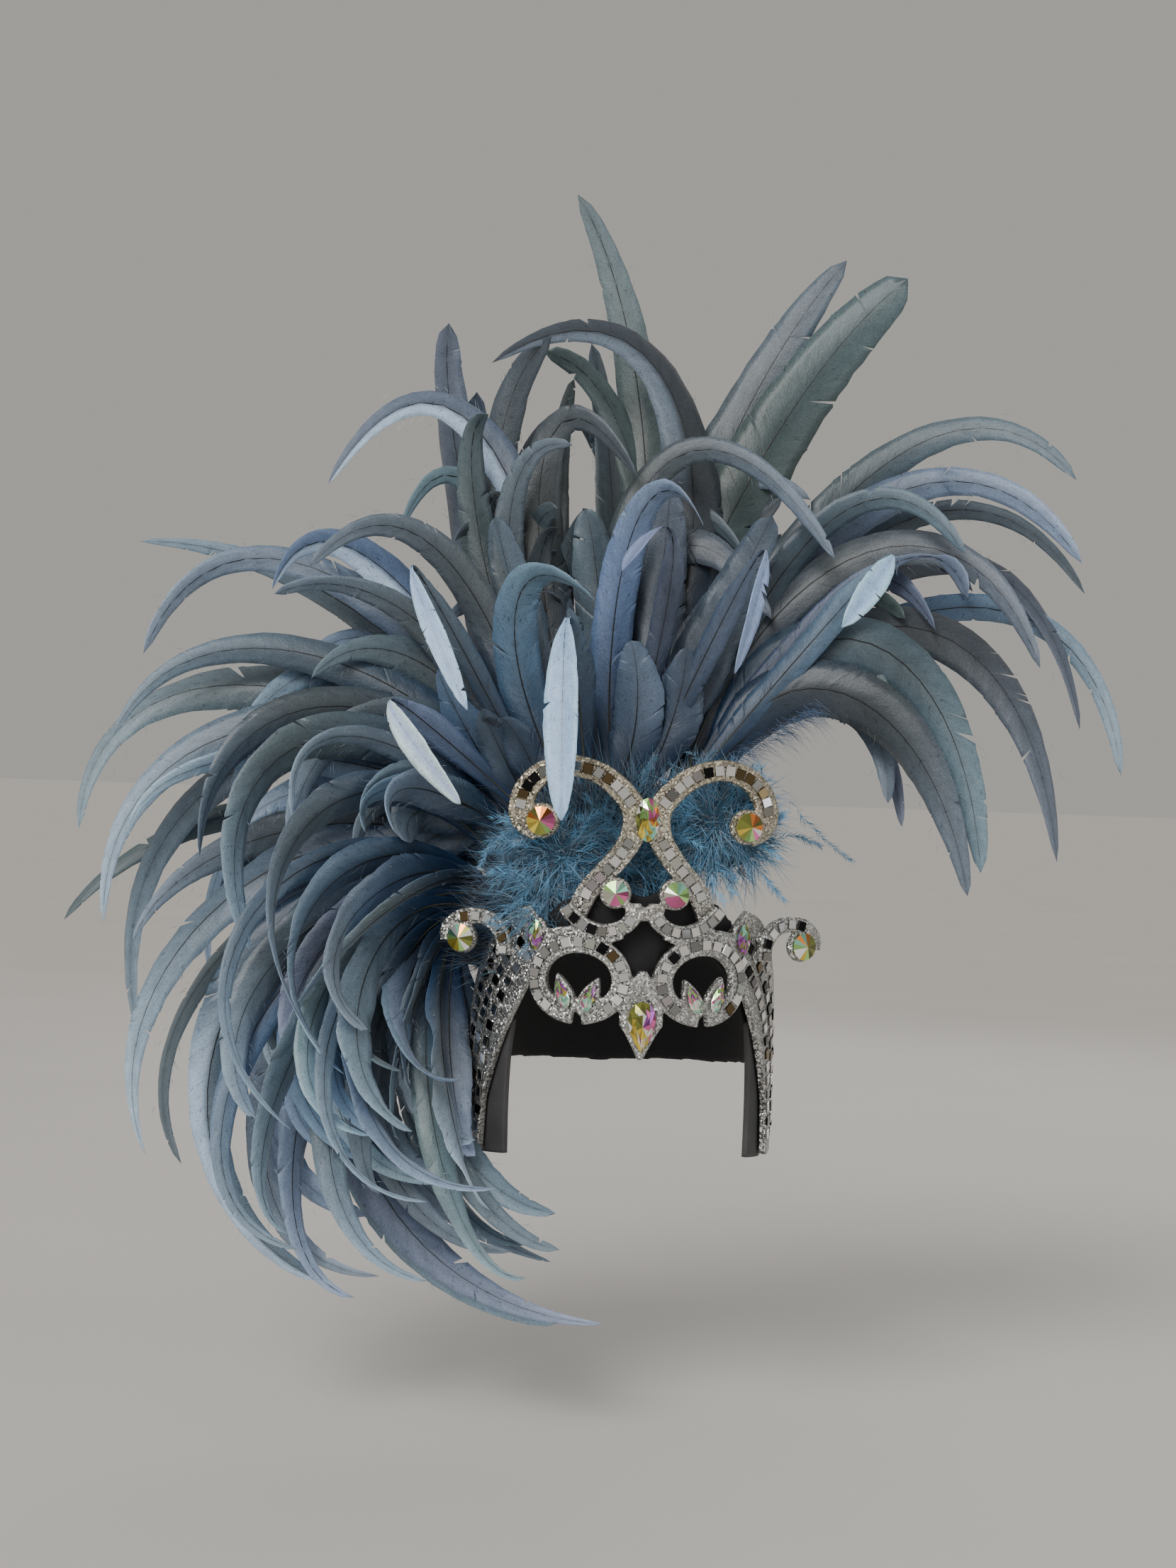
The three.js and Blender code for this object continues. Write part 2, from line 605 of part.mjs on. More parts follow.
const CASCADE = [
  [0.78, -240, 15, -292, -141, 0.4, -16, -36, 20],
  [0.8, -235, -10, -270, -147, 0.4, 16, 0, 11],
  [0.76, -222, 10, -204, -126, 0.45, -98, -112, 9],
  [0.84, -243, -55, -186, -218, 0.5, -22, -50, 18],
  [0.82, -228, -70, -199, -199, 0.5, -52, -72, 14],
  [0.83, -192, -62, -205, -190, 0.5, -62, -82, 18],
  [0.88, -192, -90, -165, -228, 0.55, -30, -52, 17],
  [0.9, -180, -105, -121, -218, 0.45, -46, -70, 15],
  [0.8, -185, -45, -155, -130, 0.45, -82, -110, 14],
  [0.86, -163, -85, -80, -162, 0.45, -92, -118, 18],
  [0.85, -182, -78, -121, -170, 0.45, -104, -120, 9],
  [0.94, -112, -80, -83, -175, 0.45, -62, -86, 20],
  [0.96, -122, -105, -41, -199, 0.45, -50, -76, 14],
  [0.92, -155, -110, -69, -200, 0.45, -38, -64, 15],
  [0.95, -160, -140, -14, -244, 0.4, -26, -56, 18],
  [0.93, -168, -130, -40, -243, 0.4, -12, -38, 16],
  [0.9, -118, -120, -61, -216, 0.45, -74, -84, 13],
  [0.82, -205, -15, -225, -120, 0.4, -48, -66, 18],
  [0.88, -150, -60, -150, -165, 0.45, -66, -80, 18],
  [0.78, -140, 10, -205, -60, 0.3, -76, -92, 15],
  [0.87, -215, -100, -150, -215, 0.5, -12, -34, 16],
];

// The down in front of the board, behind the horns

const DOWN_CORES = [
  { x: -44, z: 40, wide: 30, high: 24, deep: 11 },
  { x: -8, z: 44, wide: 26, high: 22, deep: 9 },
  { x: 36, z: 56, wide: 28, high: 26, deep: 11 },
];
const DOWN_TUFTS = [
  [-44, 40, -92, 62], [-44, 40, -88, 34], [-44, 36, -80, 12], [-40, 30, -56, 10], [-44, 44, -74, 82],
  [-30, 50, -36, 84], [36, 62, 20, 96], [40, 62, 52, 100], [44, 60, 80, 96], [46, 56, 92, 78],
  [46, 50, 90, 54], [40, 44, 72, 34], [34, 42, 50, 24],
];

function downFluff() {
  const parts = DOWN_CORES.map(({ x, z, wide, high, deep }) =>
    new THREE.SphereGeometry(1, 9, 6).rotateX(Math.PI / 2).scale(wide, deep, high)
      .translate(x, BOARD_FRONT - 2, z));
  for (const [fromX, fromZ, toX, toZ] of DOWN_TUFTS) {
    const root = v3(fromX, BOARD_FRONT - 4, fromZ);
    const tip = v3(toX, BOARD_FRONT - 8, toZ);
    const run = tip.clone().sub(root);
    const side = v3(-run.z, 0, run.x).normalize();
    const sections = [[0, 9], [0.5, 11], [0.82, 6]].map(([along, wide]) => {
      const middle = root.clone().addScaledVector(run, along);
      return [
        middle.clone().addScaledVector(side, wide),
        middle.clone().add(v3(0, -5, 0)),
        middle.clone().addScaledVector(side, -wide),
      ];
    });
    parts.push(loft([...sections, [tip]]));
  }
  const behind = new THREE.BoxGeometry(400, 200, 300).translate(0, BOARD_FRONT - GAP + 100, 50);
  return fuse(parts).subtract(solid(behind));
}

addNode('feather_board', featherBoard(), BLACK_FOAM);
addNode('right_spray', spray(0, 0.14, RIGHT_SPRAY), FEATHER);
addNode('crest', spray(0.18, 0.415, CREST), FEATHER);
addNode('left_spray', spray(0.45, 0.73, LEFT_SPRAY), FEATHER);
addNode('cascade', spray(0.745, 1, CASCADE), FEATHER);
addNode('down_fluff', downFluff(), FLUFF);

const sides = [['left', -1], ['right', 1]];
const stoneOn = (name, seat, outline, depth, table) =>
  addNode(name, stone(outline, depth, table).applyMatrix4(seat), STONE);
const HORN_TOP = BACK_LAYER + NUDGE + FOAM + GAP;
const CROWN_TOP = FRONT_LAYER + 5 * NUDGE + FOAM + GAP;
const EAR_TOP = NUDGE + FOAM + GAP;

for (const [word, side] of sides) {
  addNode(`side_panel_${word}`, panelBand(side), GLITTER);
  addNode(`ear_scroll_${word}`, earScroll(side), GLITTER);
  addNode(`inner_strap_${word}`, innerStrap(side), GREY_FOAM);
  stoneOn(`horn_stone_${word}`, standOn(side * HORN_STONE[0], HORN_STONE[1], HORN_TOP),
    outlines.round(16.5, 16.5), 5, 0.34);
  stoneOn(`mid_stone_${word}`, standOn(side * MID_STONE[0], MID_STONE[1], CROWN_TOP),
    outlines.round(14.6, 14.6), 5, 0.34);
  stoneOn(`ear_stone_${word}`, earStand(side, EAR_TOP), outlines.round(16, 16), 5, 0.34);
  stoneOn(`temple_stone_${word}`, standOn(side * TEMPLE_STONE[0], TEMPLE_STONE[1], CROWN_TOP),
    outlines.round(10, 17.5), 3.6, 0.5);
  for (const { name, s, z, lean } of PEARS) {
    stoneOn(`pear_stone_${name}_${word}`, standOn(side * s, z, CROWN_TOP, side * lean),
      outlines.pear(8.8, 17.5), 3.6, 0.5);
  }
  const tiles = (name, ...strip) => addNode(`${name}_tiles_${word}`, tileStrip(...strip), MIRROR);
  tiles('horn', mirrored(HORN, side).slice(2, 10), 12, TILE, HORN_TOP);
  tiles('stem', mirrored(STEM_ROW, side), 6, TILE, HORN_TOP);
  tiles('mid', mirrored(MID_SCROLL, side).slice(1), 7, SMALL_TILE, CROWN_TOP);
  const ringRow = Array.from({ length: 19 }, (_, i) => {
    const point = ringPoint(side, 0.62 + (2 * Math.PI - 1.24) * i / 18, 1);
    return [point.x, point.y];
  });
  tiles('ring', ringRow, 14, SMALL_TILE, CROWN_TOP);
  tiles('ear', EAR_SCROLL.slice(0, 5), 5, SMALL_TILE, EAR_TOP, earPlane(side));
}
stoneOn('crossing_stone', standOn(0, 64, HORN_TOP), outlines.round(13.5, 25), 4.5, 0.45);
stoneOn('drop_stone', standOn(0, -52, CROWN_TOP + 0.1, Math.PI), outlines.pear(17, 28.5), 5, 0.5);

export default headdress;
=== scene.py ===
"""The showgirl feather headdress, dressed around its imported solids.

Everything is in metres in the model's own frame: +Z up, the front faces -Y, and the origin is
inside the top of the cap. Shapes are worked out as whole arrays with numpy.
"""

import math

import bpy
import numpy as np
from bpy.props import FloatProperty, FloatVectorProperty, PointerProperty
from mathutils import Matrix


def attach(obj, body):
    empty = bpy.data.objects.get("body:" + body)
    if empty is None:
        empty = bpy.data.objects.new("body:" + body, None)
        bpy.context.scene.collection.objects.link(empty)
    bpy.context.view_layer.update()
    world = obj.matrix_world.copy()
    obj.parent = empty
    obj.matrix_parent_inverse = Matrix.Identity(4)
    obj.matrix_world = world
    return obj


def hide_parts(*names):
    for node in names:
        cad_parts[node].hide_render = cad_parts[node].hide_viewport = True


bl_info = {
    "name": "Feather headdress",
    "version": (1, 0, 0),
    "blender": (4, 5, 0),
    "location": "3D View > Sidebar > Headdress",
    "description": "Makes a showgirl's feather headdress, piece by piece",
    "category": "Add Mesh",
}

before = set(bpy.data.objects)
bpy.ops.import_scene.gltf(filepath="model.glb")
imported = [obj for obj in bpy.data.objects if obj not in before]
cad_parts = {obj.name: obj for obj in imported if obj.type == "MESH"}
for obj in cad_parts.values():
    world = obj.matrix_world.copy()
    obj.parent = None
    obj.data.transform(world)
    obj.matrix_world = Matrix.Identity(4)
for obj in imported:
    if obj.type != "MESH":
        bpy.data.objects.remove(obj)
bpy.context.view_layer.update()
MM = 0.001
SIDES = (("left", -1), ("right", 1))

# Sizes shared with the solids, in millimetres until a mesh is made

HEAD_HALF_WIDTH, HEAD_FRONT, HEAD_BACK, HEAD_HEIGHT = 78, 90, 98, 105
CAP_WALL = 4
FACE_FRONT, FACE_HALF_WIDTH, HORN_HALF_WIDTH = 93, 88, 145
FLATTEN_FROM, FLATTEN_OVER = -10, 80
FOAM, GAP = 5, 0.3
BACK_LAYER = GAP
FRONT_LAYER = BACK_LAYER + FOAM + GAP
PANEL_FOAM = 4.5
HORN_TOP = BACK_LAYER + FOAM
CROWN_TOP = FRONT_LAYER + FOAM + 0.15
BOARD_FRONT, BOARD_THICK = -62, 9
BOARD_BEND, BOARD_BENDS_OVER = 46, (42, 98)
ROOTS_BACK = BOARD_THICK + 5
BEVEL = 0.9                        # of foam
STONE_LIFT = 0.5                   # of a stone over the foam under it
FINE_VOXEL, CAP_VOXEL = 0.00078, 0.0018        # in metres

# The standpoint opposite which the fan is set out

SIGHT_DISTANCE, SIGHT_HEIGHT, SIGHT_ASIDE = 1400, 83, 23.8
SIGHT_TURN, SIGHT_LEAN = math.radians(6), math.radians(2)
SIGHT_SCALE, SIGHT_TALL, SENSOR = 2.33, 2212, 36       # picture units a mm, and its height in them
FLOOR_REACH = 60000
AHEAD = np.array([math.sin(SIGHT_TURN), math.cos(SIGHT_TURN), 0])
RIGHT = np.array([math.cos(SIGHT_TURN), -math.sin(SIGHT_TURN), 0])
UP = np.array([0, 0, 1.0])
STANDPOINT = SIGHT_HEIGHT * UP - SIGHT_DISTANCE * AHEAD - SIGHT_ASIDE * RIGHT

# Scrollwork, one half, as (distance round the bend, height)

HORN = [
    (50.5, 55.5), (57.5, 60), (59.6, 68), (57, 79), (50, 88), (40, 92.7), (31, 92.6),
    (21, 88.5), (12.5, 80.5), (6.6, 71.5), (5.2, 63), (7, 53), (12, 43.5), (19, 34),
    (27.8, 24), (34.4, 13), (39, 4),
]
STEM_ROW = HORN[11:15] + [(31, 18.5)]
HORN_STONE = (48.9, 61.5)
MID_SCROLL = [(6, 17), (6, 9), (11.5, 3), (21, 0.5), (31, 3.5), (37.5, 9.5), (40.5, 14)]
MID_STONE = (14.6, 22.3)
RING_CENTRE, RING_ACROSS, RING_UP, RING_BAND = (34, -27), 23.2, 20.2, 10.8
PEARS = {"inner": (27.3, -36.5, 0.42), "outer": (41.6, -35.5, -0.36)}
TEMPLE_STONE = (57.5, -3)
EAR_SCROLL = [(-26, -9), (-25, 2), (-18, 10.5), (-8, 13), (2, 11.5), (9, 5), (9, -2)]
EAR_SEAT, EAR_TURN = (98, -50, -8), math.radians(25)
SIDE_PANEL = [(56, 2), (70, -7), (86, -24), (104, -54), (114, -92), (118, -132)]
NECK = [(12, 1), (24, -3), (40, -2), (55, -5)]
PENDANT = [(0, -21), (0, -36), (0, -50), (0, -60), (0, -71)]
BRIDGE = [(-8, 12), (0, 11), (8, 12)]
PLATE = np.array([                 # distance round the bend, lower edge, upper edge
    (-62, -8, 4), (-46, -8, 16), (-30, -8, 22), (-16, -8, 26), (-9, -20, 24), (0, -27, 20),
    (9, -20, 24), (16, -8, 26), (30, -8, 22), (46, -8, 16), (62, -8, 4),
])
RIM = [(0, 9, 15, 34, 48, 64, 90, 120, 180), (27, 24, 10, 10, 24, 62, 84, 90, 96)]
STRAP = [(104, -52), (106, -76), (105, -104), (102, -134)]
ROOTS = [(42, 66), (22, 74), (-12, 77), (-47, 67), (-72, 46), (-88, 18), (-96, -8), (-98, -26)]

# Down: amounts, puffs as (chart x, z, half-width, half-height), the line of the root fringe, and
# wisps as (x, z) of the root and of the tip

LOCKS, FRINGE_STRANDS, EDGE_BARBS = 400, 2700, 300
PUFFS = [(-44, 40, 30, 24), (-8, 44, 26, 22), (44, 61, 32, 29), (-58, 15, 13, 13)]
RAIL = [(38, 60), (20, 66), (-12, 68), (-42, 58), (-60, 38), (-71, 12), (-76, -12), (-77, -28)]
WISPS = [
    (80, 84, 122, 44), (72, 54, 104, 52), (64, 43, 84, 20), (-52, 50, -83, 4), (-50, 42, -70, 0),
    (-42, 34, -68, -15), (-56, 56, -92, 34), (-6, 70, 6, 100), (30, 76, 40, 104),
]

# The sprays: the span of their roots along the board from right to left, how many shorter
# feathers and root tufts they have, how much painted light brightens them (sprays nearer the
# lamps are painted lighter), and a row for each long feather. A row has the place of the root
# along the board from right to left, chart x and z where the feather arches over, chart x and z
# of its tip, roundness of the arch, distance behind the chart at the arch and at the tip, width
# of the vane, paleness of its end (partly a paler dye and partly a painted highlight), and its
# dye, from grey-green at 0 over grey-blue to periwinkle at 1.
SPRAYS = {
    "right_spray": dict(span=(0, 0.14), fillers=13, tufts=0, light=1.2, rows=[
        (0.11, 150, 272, 272, 267, 0.25, 10, -30, 18, 0.3, 0.5),
        (0.12, 148, 252, 275, 217, 0.25, -5, -45, 17, 1.0, 0.6),
        (0.105, 158, 238, 277, 198, 0.25, 12, -20, 12, 0.1, 0.3),
        (0.1, 120, 240, 205, 222, 0.2, -20, -60, 14, 0.5, 0.6),
        (0.1, 152, 214, 130, 178, 0.15, -55, -110, 11, 1.0, 0.75),
        (0.1, 145, 207, 206, 196, 0.2, -35, -65, 10, 0.9, 0.8),
        (0.09, 142, 222, 250, 153, 0.3, -22, -60, 18, 0.3, 0.35),
        (0.08, 175, 218, 274, 116, 0.3, 16, -10, 16, 0.3, 0.45),
        (0.06, 200, 190, 299, 88, 0.3, 14, -20, 13, 1.0, 0.9),
        (0.05, 172, 178, 260, 36, 0.3, -20, -50, 20, 0.4, 0.4),
        (0.03, 140, 170, 214, 29, 0.35, -36, -60, 24, 0.4, 0.55),
        (0.015, 128, 139, 206, 15, 0.35, -50, -75, 22, 0.4, 0.5),
    ]),
    "crest": dict(span=(0.18, 0.415), fillers=50, tufts=0, light=1.12, rows=[
        (0.3, 12, 262, -30, 440, 0.3, 32, 40, 22, 0.2, 0.1),
        (0.22, 45, 250, 133, 400, 0.25, 20, 30, 28, 0.1, 0.15),
        (0.19, 66, 252, 170, 389, 0.25, 8, 18, 30, 0.1, 0.15),
        (0.28, 34, 300, -82, 338, 0.35, 8, -20, 24, -0.2, 0.45),
        (0.36, -80, 228, -46, 354, 0.3, 0, -10, 18, 0.1, 0.5),
        (0.41, -92, 225, -108, 362, 0.3, 22, 22, 25, 0.2, 0.6),
        (0.39, -86, 292, -181, 265, 0.25, 2, -30, 18, -1.0, 0.6),
        (0.4, -88, 225, -84, 307, 0.3, -14, -30, 18, 0.1, 0.45),
        (0.33, -52, 272, 6, 269, 0.35, -12, -40, 22, 0.3, 0.3),
        (0.37, -72, 225, -33, 288, 0.3, -30, -50, 14, 0.2, 0.5),
        (0.38, -68, 185, -20, 194, 0.35, -52, -85, 18, 0.7, 0.8),
        (0.34, -36, 184, -40, 61, 0.1, -95, -150, 15, 1.0, 0.7),
        (0.27, 2, 232, 46, 240, 0.3, -42, -75, 16, 0.6, 0.95),
        (0.24, 28, 225, -3, 212, 0.15, -62, -100, 10, 1.0, 0.7),
        (0.26, 18, 272, 126, 219, 0.3, -20, -50, 14, 0.6, 0.1),
        (0.2, 80, 222, 65, 150, 0.1, -72, -115, 10, 1.0, 0.7),
        (0.31, -15, 160, -25, 250, 0.3, -34, -32, 24, 0.0, 0.6),
        (0.2, 48, 165, 88, 245, 0.3, -38, -44, 24, 0.0, 0.6),
        (0.25, 14, 165, 26, 262, 0.3, -28, -22, 24, 0.0, 0.55),
        (0.36, -55, 150, -80, 245, 0.3, -34, -34, 24, 0.0, 0.6),
        (0.22, 24, 112, 36, 166, 0.3, -52, -56, 20, 0.0, 0.8),
        (0.3, 4, 112, 2, 170, 0.3, -52, -56, 20, 0.0, 0.7),
    ]),
    "left_spray": dict(span=(0.45, 0.73), fillers=28, tufts=6, light=1.65, rows=[
        (0.46, -165, 188, -295, 230, 0.2, 26, 20, 15, 0.3, 0.5),
        (0.45, -188, 213, -293, 162, 0.25, 0, -30, 15, 0.4, 0.7),
        (0.44, -150, 215, -215, 201, 0.2, -20, -60, 18, -0.9, 0.9),
        (0.44, -112, 222, -193, 214, 0.2, -34, -62, 15, 0.3, 0.4),
        (0.45, -128, 213, -97, 128, 0.15, -64, -122, 9, 1.0, 0.6),
        (0.48, -125, 180, -214, 198, 0.2, -44, -72, 14, 0.6, 0.4),
        (0.52, -195, 162, -311, 112, 0.3, -22, -42, 16, 0.5, 0.6),
        (0.55, -235, 143, -332, 56, 0.3, -8, -20, 20, 0.6, 0.55),
        (0.6, -225, 117, -317, -1, 0.35, -32, -52, 20, 1.0, 0.6),
        (0.58, -210, 100, -303, 52, 0.3, -52, -72, 14, 0.9, 0.7),
        (0.56, -182, 130, -259, 39, 0.35, -52, -82, 16, 0.5, 0.5),
        (0.62, -195, 108, -228, -18, 0.4, -70, -90, 18, 0.6, 0.45),
        (0.6, -165, 112, -201, 58, 0.3, -76, -100, 10, 0.8, 0.6),
        (0.68, -188, 64, -192, -69, 0.45, -94, -120, 16, 0.5, 0.5),
        (0.5, -142, 134, -101, 71, 0.15, -80, -128, 12, 0.9, 0.7),
        (0.65, -235, 92, -295, -72, 0.4, 26, 16, 17, 1.0, 0.6),
        (0.66, -215, 70, -341, 1, 0.3, 44, 34, 13, 0.0, 0.3),
        (0.7, -205, 55, -300, -13, 0.3, 10, -6, 18, 0.5, 0.5),
        (0.62, -122, 52, -172, 36, 0.3, -14, -22, 22, 0.05, 0.7),
        (0.57, -120, 80, -185, 76, 0.3, -16, -28, 22, 0.05, 0.6),
        (0.59, -102, 45, -142, 38, 0.3, -8, -14, 24, 0.05, 0.8),
    ]),
    "cascade": dict(span=(0.745, 1), fillers=36, tufts=7, light=2.3, rows=[
        (0.78, -240, 15, -292, -141, 0.4, -16, -36, 20, 0.9, 0.6),
        (0.8, -235, -10, -270, -147, 0.4, 16, 0, 11, 0.0, 0.4),
        (0.76, -222, 10, -204, -126, 0.45, -98, -112, 9, 0.8, 0.6),
        (0.84, -243, -55, -186, -218, 0.5, -22, -50, 20, -0.7, 0.6),
        (0.82, -228, -70, -199, -199, 0.5, -52, -72, 14, 0.9, 0.9),
        (0.83, -192, -62, -205, -190, 0.5, -62, -82, 18, 0.5, 0.55),
        (0.88, -192, -90, -165, -228, 0.55, -30, -52, 17, 0.5, 0.6),
        (0.9, -180, -105, -121, -218, 0.45, -46, -70, 15, 0.4, 0.5),
        (0.8, -185, -45, -155, -130, 0.45, -82, -110, 14, 0.5, 0.5),
        (0.86, -163, -85, -80, -162, 0.45, -92, -118, 18, 0.5, 0.6),
        (0.85, -182, -78, -121, -170, 0.45, -104, -120, 9, 0.7, 0.6),
        (0.94, -112, -80, -83, -175, 0.45, -62, -86, 20, 0.3, 0.5),
        (0.96, -122, -105, -41, -199, 0.45, -50, -76, 14, 0.3, 0.5),
        (0.92, -155, -110, -69, -200, 0.45, -38, -64, 15, 0.4, 0.6),
        (0.95, -160, -140, -14, -244, 0.4, -26, -56, 18, 0.6, 0.6),
        (0.93, -168, -130, -40, -243, 0.4, -12, -38, 16, 0.5, 0.55),
        (0.9, -118, -120, -61, -216, 0.45, -74, -84, 13, 0.3, 0.5),
        (0.82, -205, -15, -225, -120, 0.4, -48, -66, 18, 0.7, 0.5),
        (0.88, -150, -60, -150, -165, 0.45, -66, -80, 18, 0.4, 0.5),
        (0.78, -140, 10, -205, -60, 0.3, -76, -92, 15, 0.5, 0.5),
        (0.87, -215, -100, -150, -215, 0.5, -12, -34, 16, 0.5, 0.6),
        (0.99, -106, -70, -96, -158, 0.4, 20, 14, 20, 0.05, 0.4),
        (0.975, -112, -58, -103, -142, 0.4, -12, -34, 22, 0.3, 0.5),
    ]),
}


# Places

def arrays(*values):
    """The values as float arrays of one shape."""
    return np.broadcast_arrays(*(np.asarray(value, float) for value in values))


def stack(*parts):
    """Coordinates of any shapes that go together, joined along a new last axis."""
    return np.stack(arrays(*parts), -1)


def opaque(tone):
    """Colours with an alpha of 1."""
    return np.concatenate([tone, np.ones(tone.shape[:-1] + (1,))], -1)


def smoothstep(x, low, high):
    """0 below low, 1 above high, and 3t^2 - 2t^3 between."""
    t = np.clip((x - low) / (high - low), 0, 1)
    return t * t * (3 - 2 * t)


def face(s, z, out):
    """The bent face of the crown: an ellipse in plan, wider and flatter towards the horns.
    s is measured round the bend, z is height, and out is along the normal."""
    s, z, out = arrays(s, z, out)
    flat = smoothstep(z, FLATTEN_FROM, FLATTEN_FROM + FLATTEN_OVER)
    wide = FACE_HALF_WIDTH + (HORN_HALF_WIDTH - FACE_HALF_WIDTH) * flat
    turn = s / ((wide + FACE_FRONT) / 2)
    nx, ny = FACE_FRONT * np.sin(turn), -wide * np.cos(turn)
    size = np.hypot(nx, ny)
    return stack(wide * np.sin(turn) + out * nx / size, -FACE_FRONT * np.cos(turn) + out * ny / size, z)


def ear_plane(side):
    """The flat plane of one ear scroll, turned back from the front: u outwards, w up."""
    def place(u, w, out):
        u, w, out = arrays(u, w, out)
        return stack(side * (EAR_SEAT[0] + u * math.cos(EAR_TURN) + out * math.sin(EAR_TURN)),
                     EAR_SEAT[1] + u * math.sin(EAR_TURN) - out * math.cos(EAR_TURN),
                     EAR_SEAT[2] + w)
    return place


def board_face(x, z, back):
    """The feather board's front, moved back. It follows the side of the head at the left."""
    x, z, back = arrays(x, z, back)
    return stack(x, BOARD_FRONT + BOARD_BEND * smoothstep(-x, *BOARD_BENDS_OVER) + back, z)


def sight(chart_x, chart_z, behind):
    """A place from a chart point and its distance behind the chart, along the line of sight."""
    chart_x, chart_z, behind = arrays(chart_x, chart_z, behind)
    aside, above = chart_x + SIGHT_ASIDE, chart_z - SIGHT_HEIGHT
    level = aside * math.cos(SIGHT_LEAN) - above * math.sin(SIGHT_LEAN)
    upright = aside * math.sin(SIGHT_LEAN) + above * math.cos(SIGHT_LEAN)
    spread = (SIGHT_DISTANCE + behind) / SIGHT_DISTANCE
    parts = ((SIGHT_DISTANCE, AHEAD), (level, RIGHT), (upright, UP))
    return STANDPOINT + sum((long * spread)[..., None] * way for long, way in parts)


def unit(v):
    return v / np.maximum(np.linalg.norm(v, axis=-1, keepdims=True), 1e-12)


def leftward(line):
    """The way to the left all along a flat line."""
    ahead = unit(np.gradient(line, axis=0))
    return stack(-ahead[:, 1], ahead[:, 0])


def resample(points, shares):
    """Points at given shares of the length of a polyline."""
    points = np.asarray(points, float)
    run = np.r_[0, np.cumsum(np.linalg.norm(np.diff(points, axis=0), axis=1))]
    return np.stack([np.interp(np.asarray(shares) * run[-1], run, axis) for axis in points.T], -1)


def smooth_line(rows, count):
    """A Catmull-Rom curve through the rows, evenly spaced."""
    p = np.asarray(rows, float)
    p = np.vstack([2 * p[0] - p[1], p, 2 * p[-1] - p[-2]])
    t = np.linspace(0, 1, 17)[:-1, None]
    a, b, c, d = (p[i:len(p) - 3 + i, None] for i in range(4))
    curve = 0.5 * (2 * b + (c - a) * t + (2 * a - 5 * b + 4 * c - d) * t ** 2
                   + (3 * b - a - 3 * c + d) * t ** 3)
    curve = np.vstack([curve.reshape(-1, p.shape[1]), p[-2]])
    return resample(curve, np.linspace(0, 1, count))


def mirrored(rows, side):
    return [(side * row[0], *row[1:]) for row in rows]


# The line along which the feathers' roots are bound, on the chart and behind the board

LINE_STEPS = 400
ROOT_CHART = smooth_line(ROOTS, LINE_STEPS)
ROOT_LINE = smooth_line(board_face(*np.transpose(ROOTS), ROOTS_BACK), LINE_STEPS)


# Meshes from arrays

def put(name, data):
    """Adds an object to the scene."""
    thing = bpy.data.objects.new(name, data)
    bpy.context.collection.objects.link(thing)
    return thing


class Skin:
    """Gathers closed surfaces as arrays, to make one mesh of them."""

    def __init__(self):
        self.points, self.faces, self.smooth, self.colours, self.uvs, self.count = [], [], [], [], [], 0

    def join(self, faces, smooth=True):
        """Adds faces between points that have been added already."""
        self.faces.append(np.asarray(faces, int))
        self.smooth.append(np.broadcast_to(smooth, len(faces)))

    def add(self, points, faces, colours=None, uvs=None, smooth=True):
        """Adds points, and faces that count from the first of them."""
        points = points.reshape(-1, 3)
        self.points.append(points)
        self.join(faces + self.count, smooth)
        self.colours.append(np.ones((len(points), 4)) if colours is None else colours.reshape(-1, 4))
        self.uvs.append(np.zeros((len(points), 2)) if uvs is None else uvs.reshape(-1, 2))
        self.count += len(points)

    def make(self, name, material, smooth=True, attributes=True):
        """Lengths go from millimetres to metres here."""
        corners = np.concatenate([faces.ravel() for faces in self.faces]).astype(np.int32)
        sizes = np.concatenate([np.full(len(faces), faces.shape[1]) for faces in self.faces])
        starts = np.r_[0, np.cumsum(sizes)[:-1]].astype(np.int32)
        mesh = bpy.data.meshes.new(name)
        mesh.vertices.add(self.count)
        mesh.loops.add(len(corners))
        mesh.polygons.add(len(sizes))

        def fill(part, key, values, kind=np.float32):
            part.foreach_set(key, values.astype(kind).ravel())

        fill(mesh.vertices, "co", np.concatenate(self.points) * MM)
        fill(mesh.loops, "vertex_index", corners, np.int32)
        fill(mesh.polygons, "loop_start", starts, np.int32)
        fill(mesh.polygons, "use_smooth", np.concatenate(self.smooth) & smooth, bool)
        mesh.update(calc_edges=True)
        if attributes:
            fill(mesh.color_attributes.new("tint", "FLOAT_COLOR", "POINT").data, "color",
                 np.concatenate(self.colours))
            fill(mesh.uv_layers.new(name="UVMap").data, "uv", np.concatenate(self.uvs)[corners])
        mesh.validate()
        mesh.materials.append(material)
        return put(name, mesh)


def grid_faces(rows, columns, wrap=False):
    """Quads of a grid of points, row by row, optionally closed across the columns."""
    i, j = np.meshgrid(np.arange(rows - 1), np.arange(columns if wrap else columns - 1), indexing="ij")
    k = (j + 1) % columns
    i, after = i * columns, (i + 1) * columns
    return np.stack([i + j, i + k, after + k, after + j], -1).reshape(-1, 4)


def outward(points, quads, *others):
    """Turns the faces of a closed surface if the signed volume under its quads is negative."""
    a, b, c, d = (points.reshape(-1, 3)[corner] for corner in quads.T)
    volume = (a * (np.cross(b, c) + np.cross(c, d))).sum()
    return tuple(faces if volume > 0 else faces[:, ::-1] for faces in (quads, *others))


def copies(faces, block, count):
    """The faces of one surface, repeated for others whose points follow in blocks."""
    return (faces + block * np.arange(count)[:, None, None]).reshape(-1, faces.shape[1])


def capped(quads, cap, end):
    """The quads of a row of rings, with a cap on the first ring and on the last."""
    return np.concatenate([quads, cap[:, ::-1], cap + end])


def hoops(side, up, corners):
    """Ways round each point of some lines, from two cross ways."""
    turn = np.linspace(0, 2 * math.pi, corners, endpoint=False)[:, None]
    return side[:, :, None] * np.cos(turn) + up[:, :, None] * np.sin(turn)


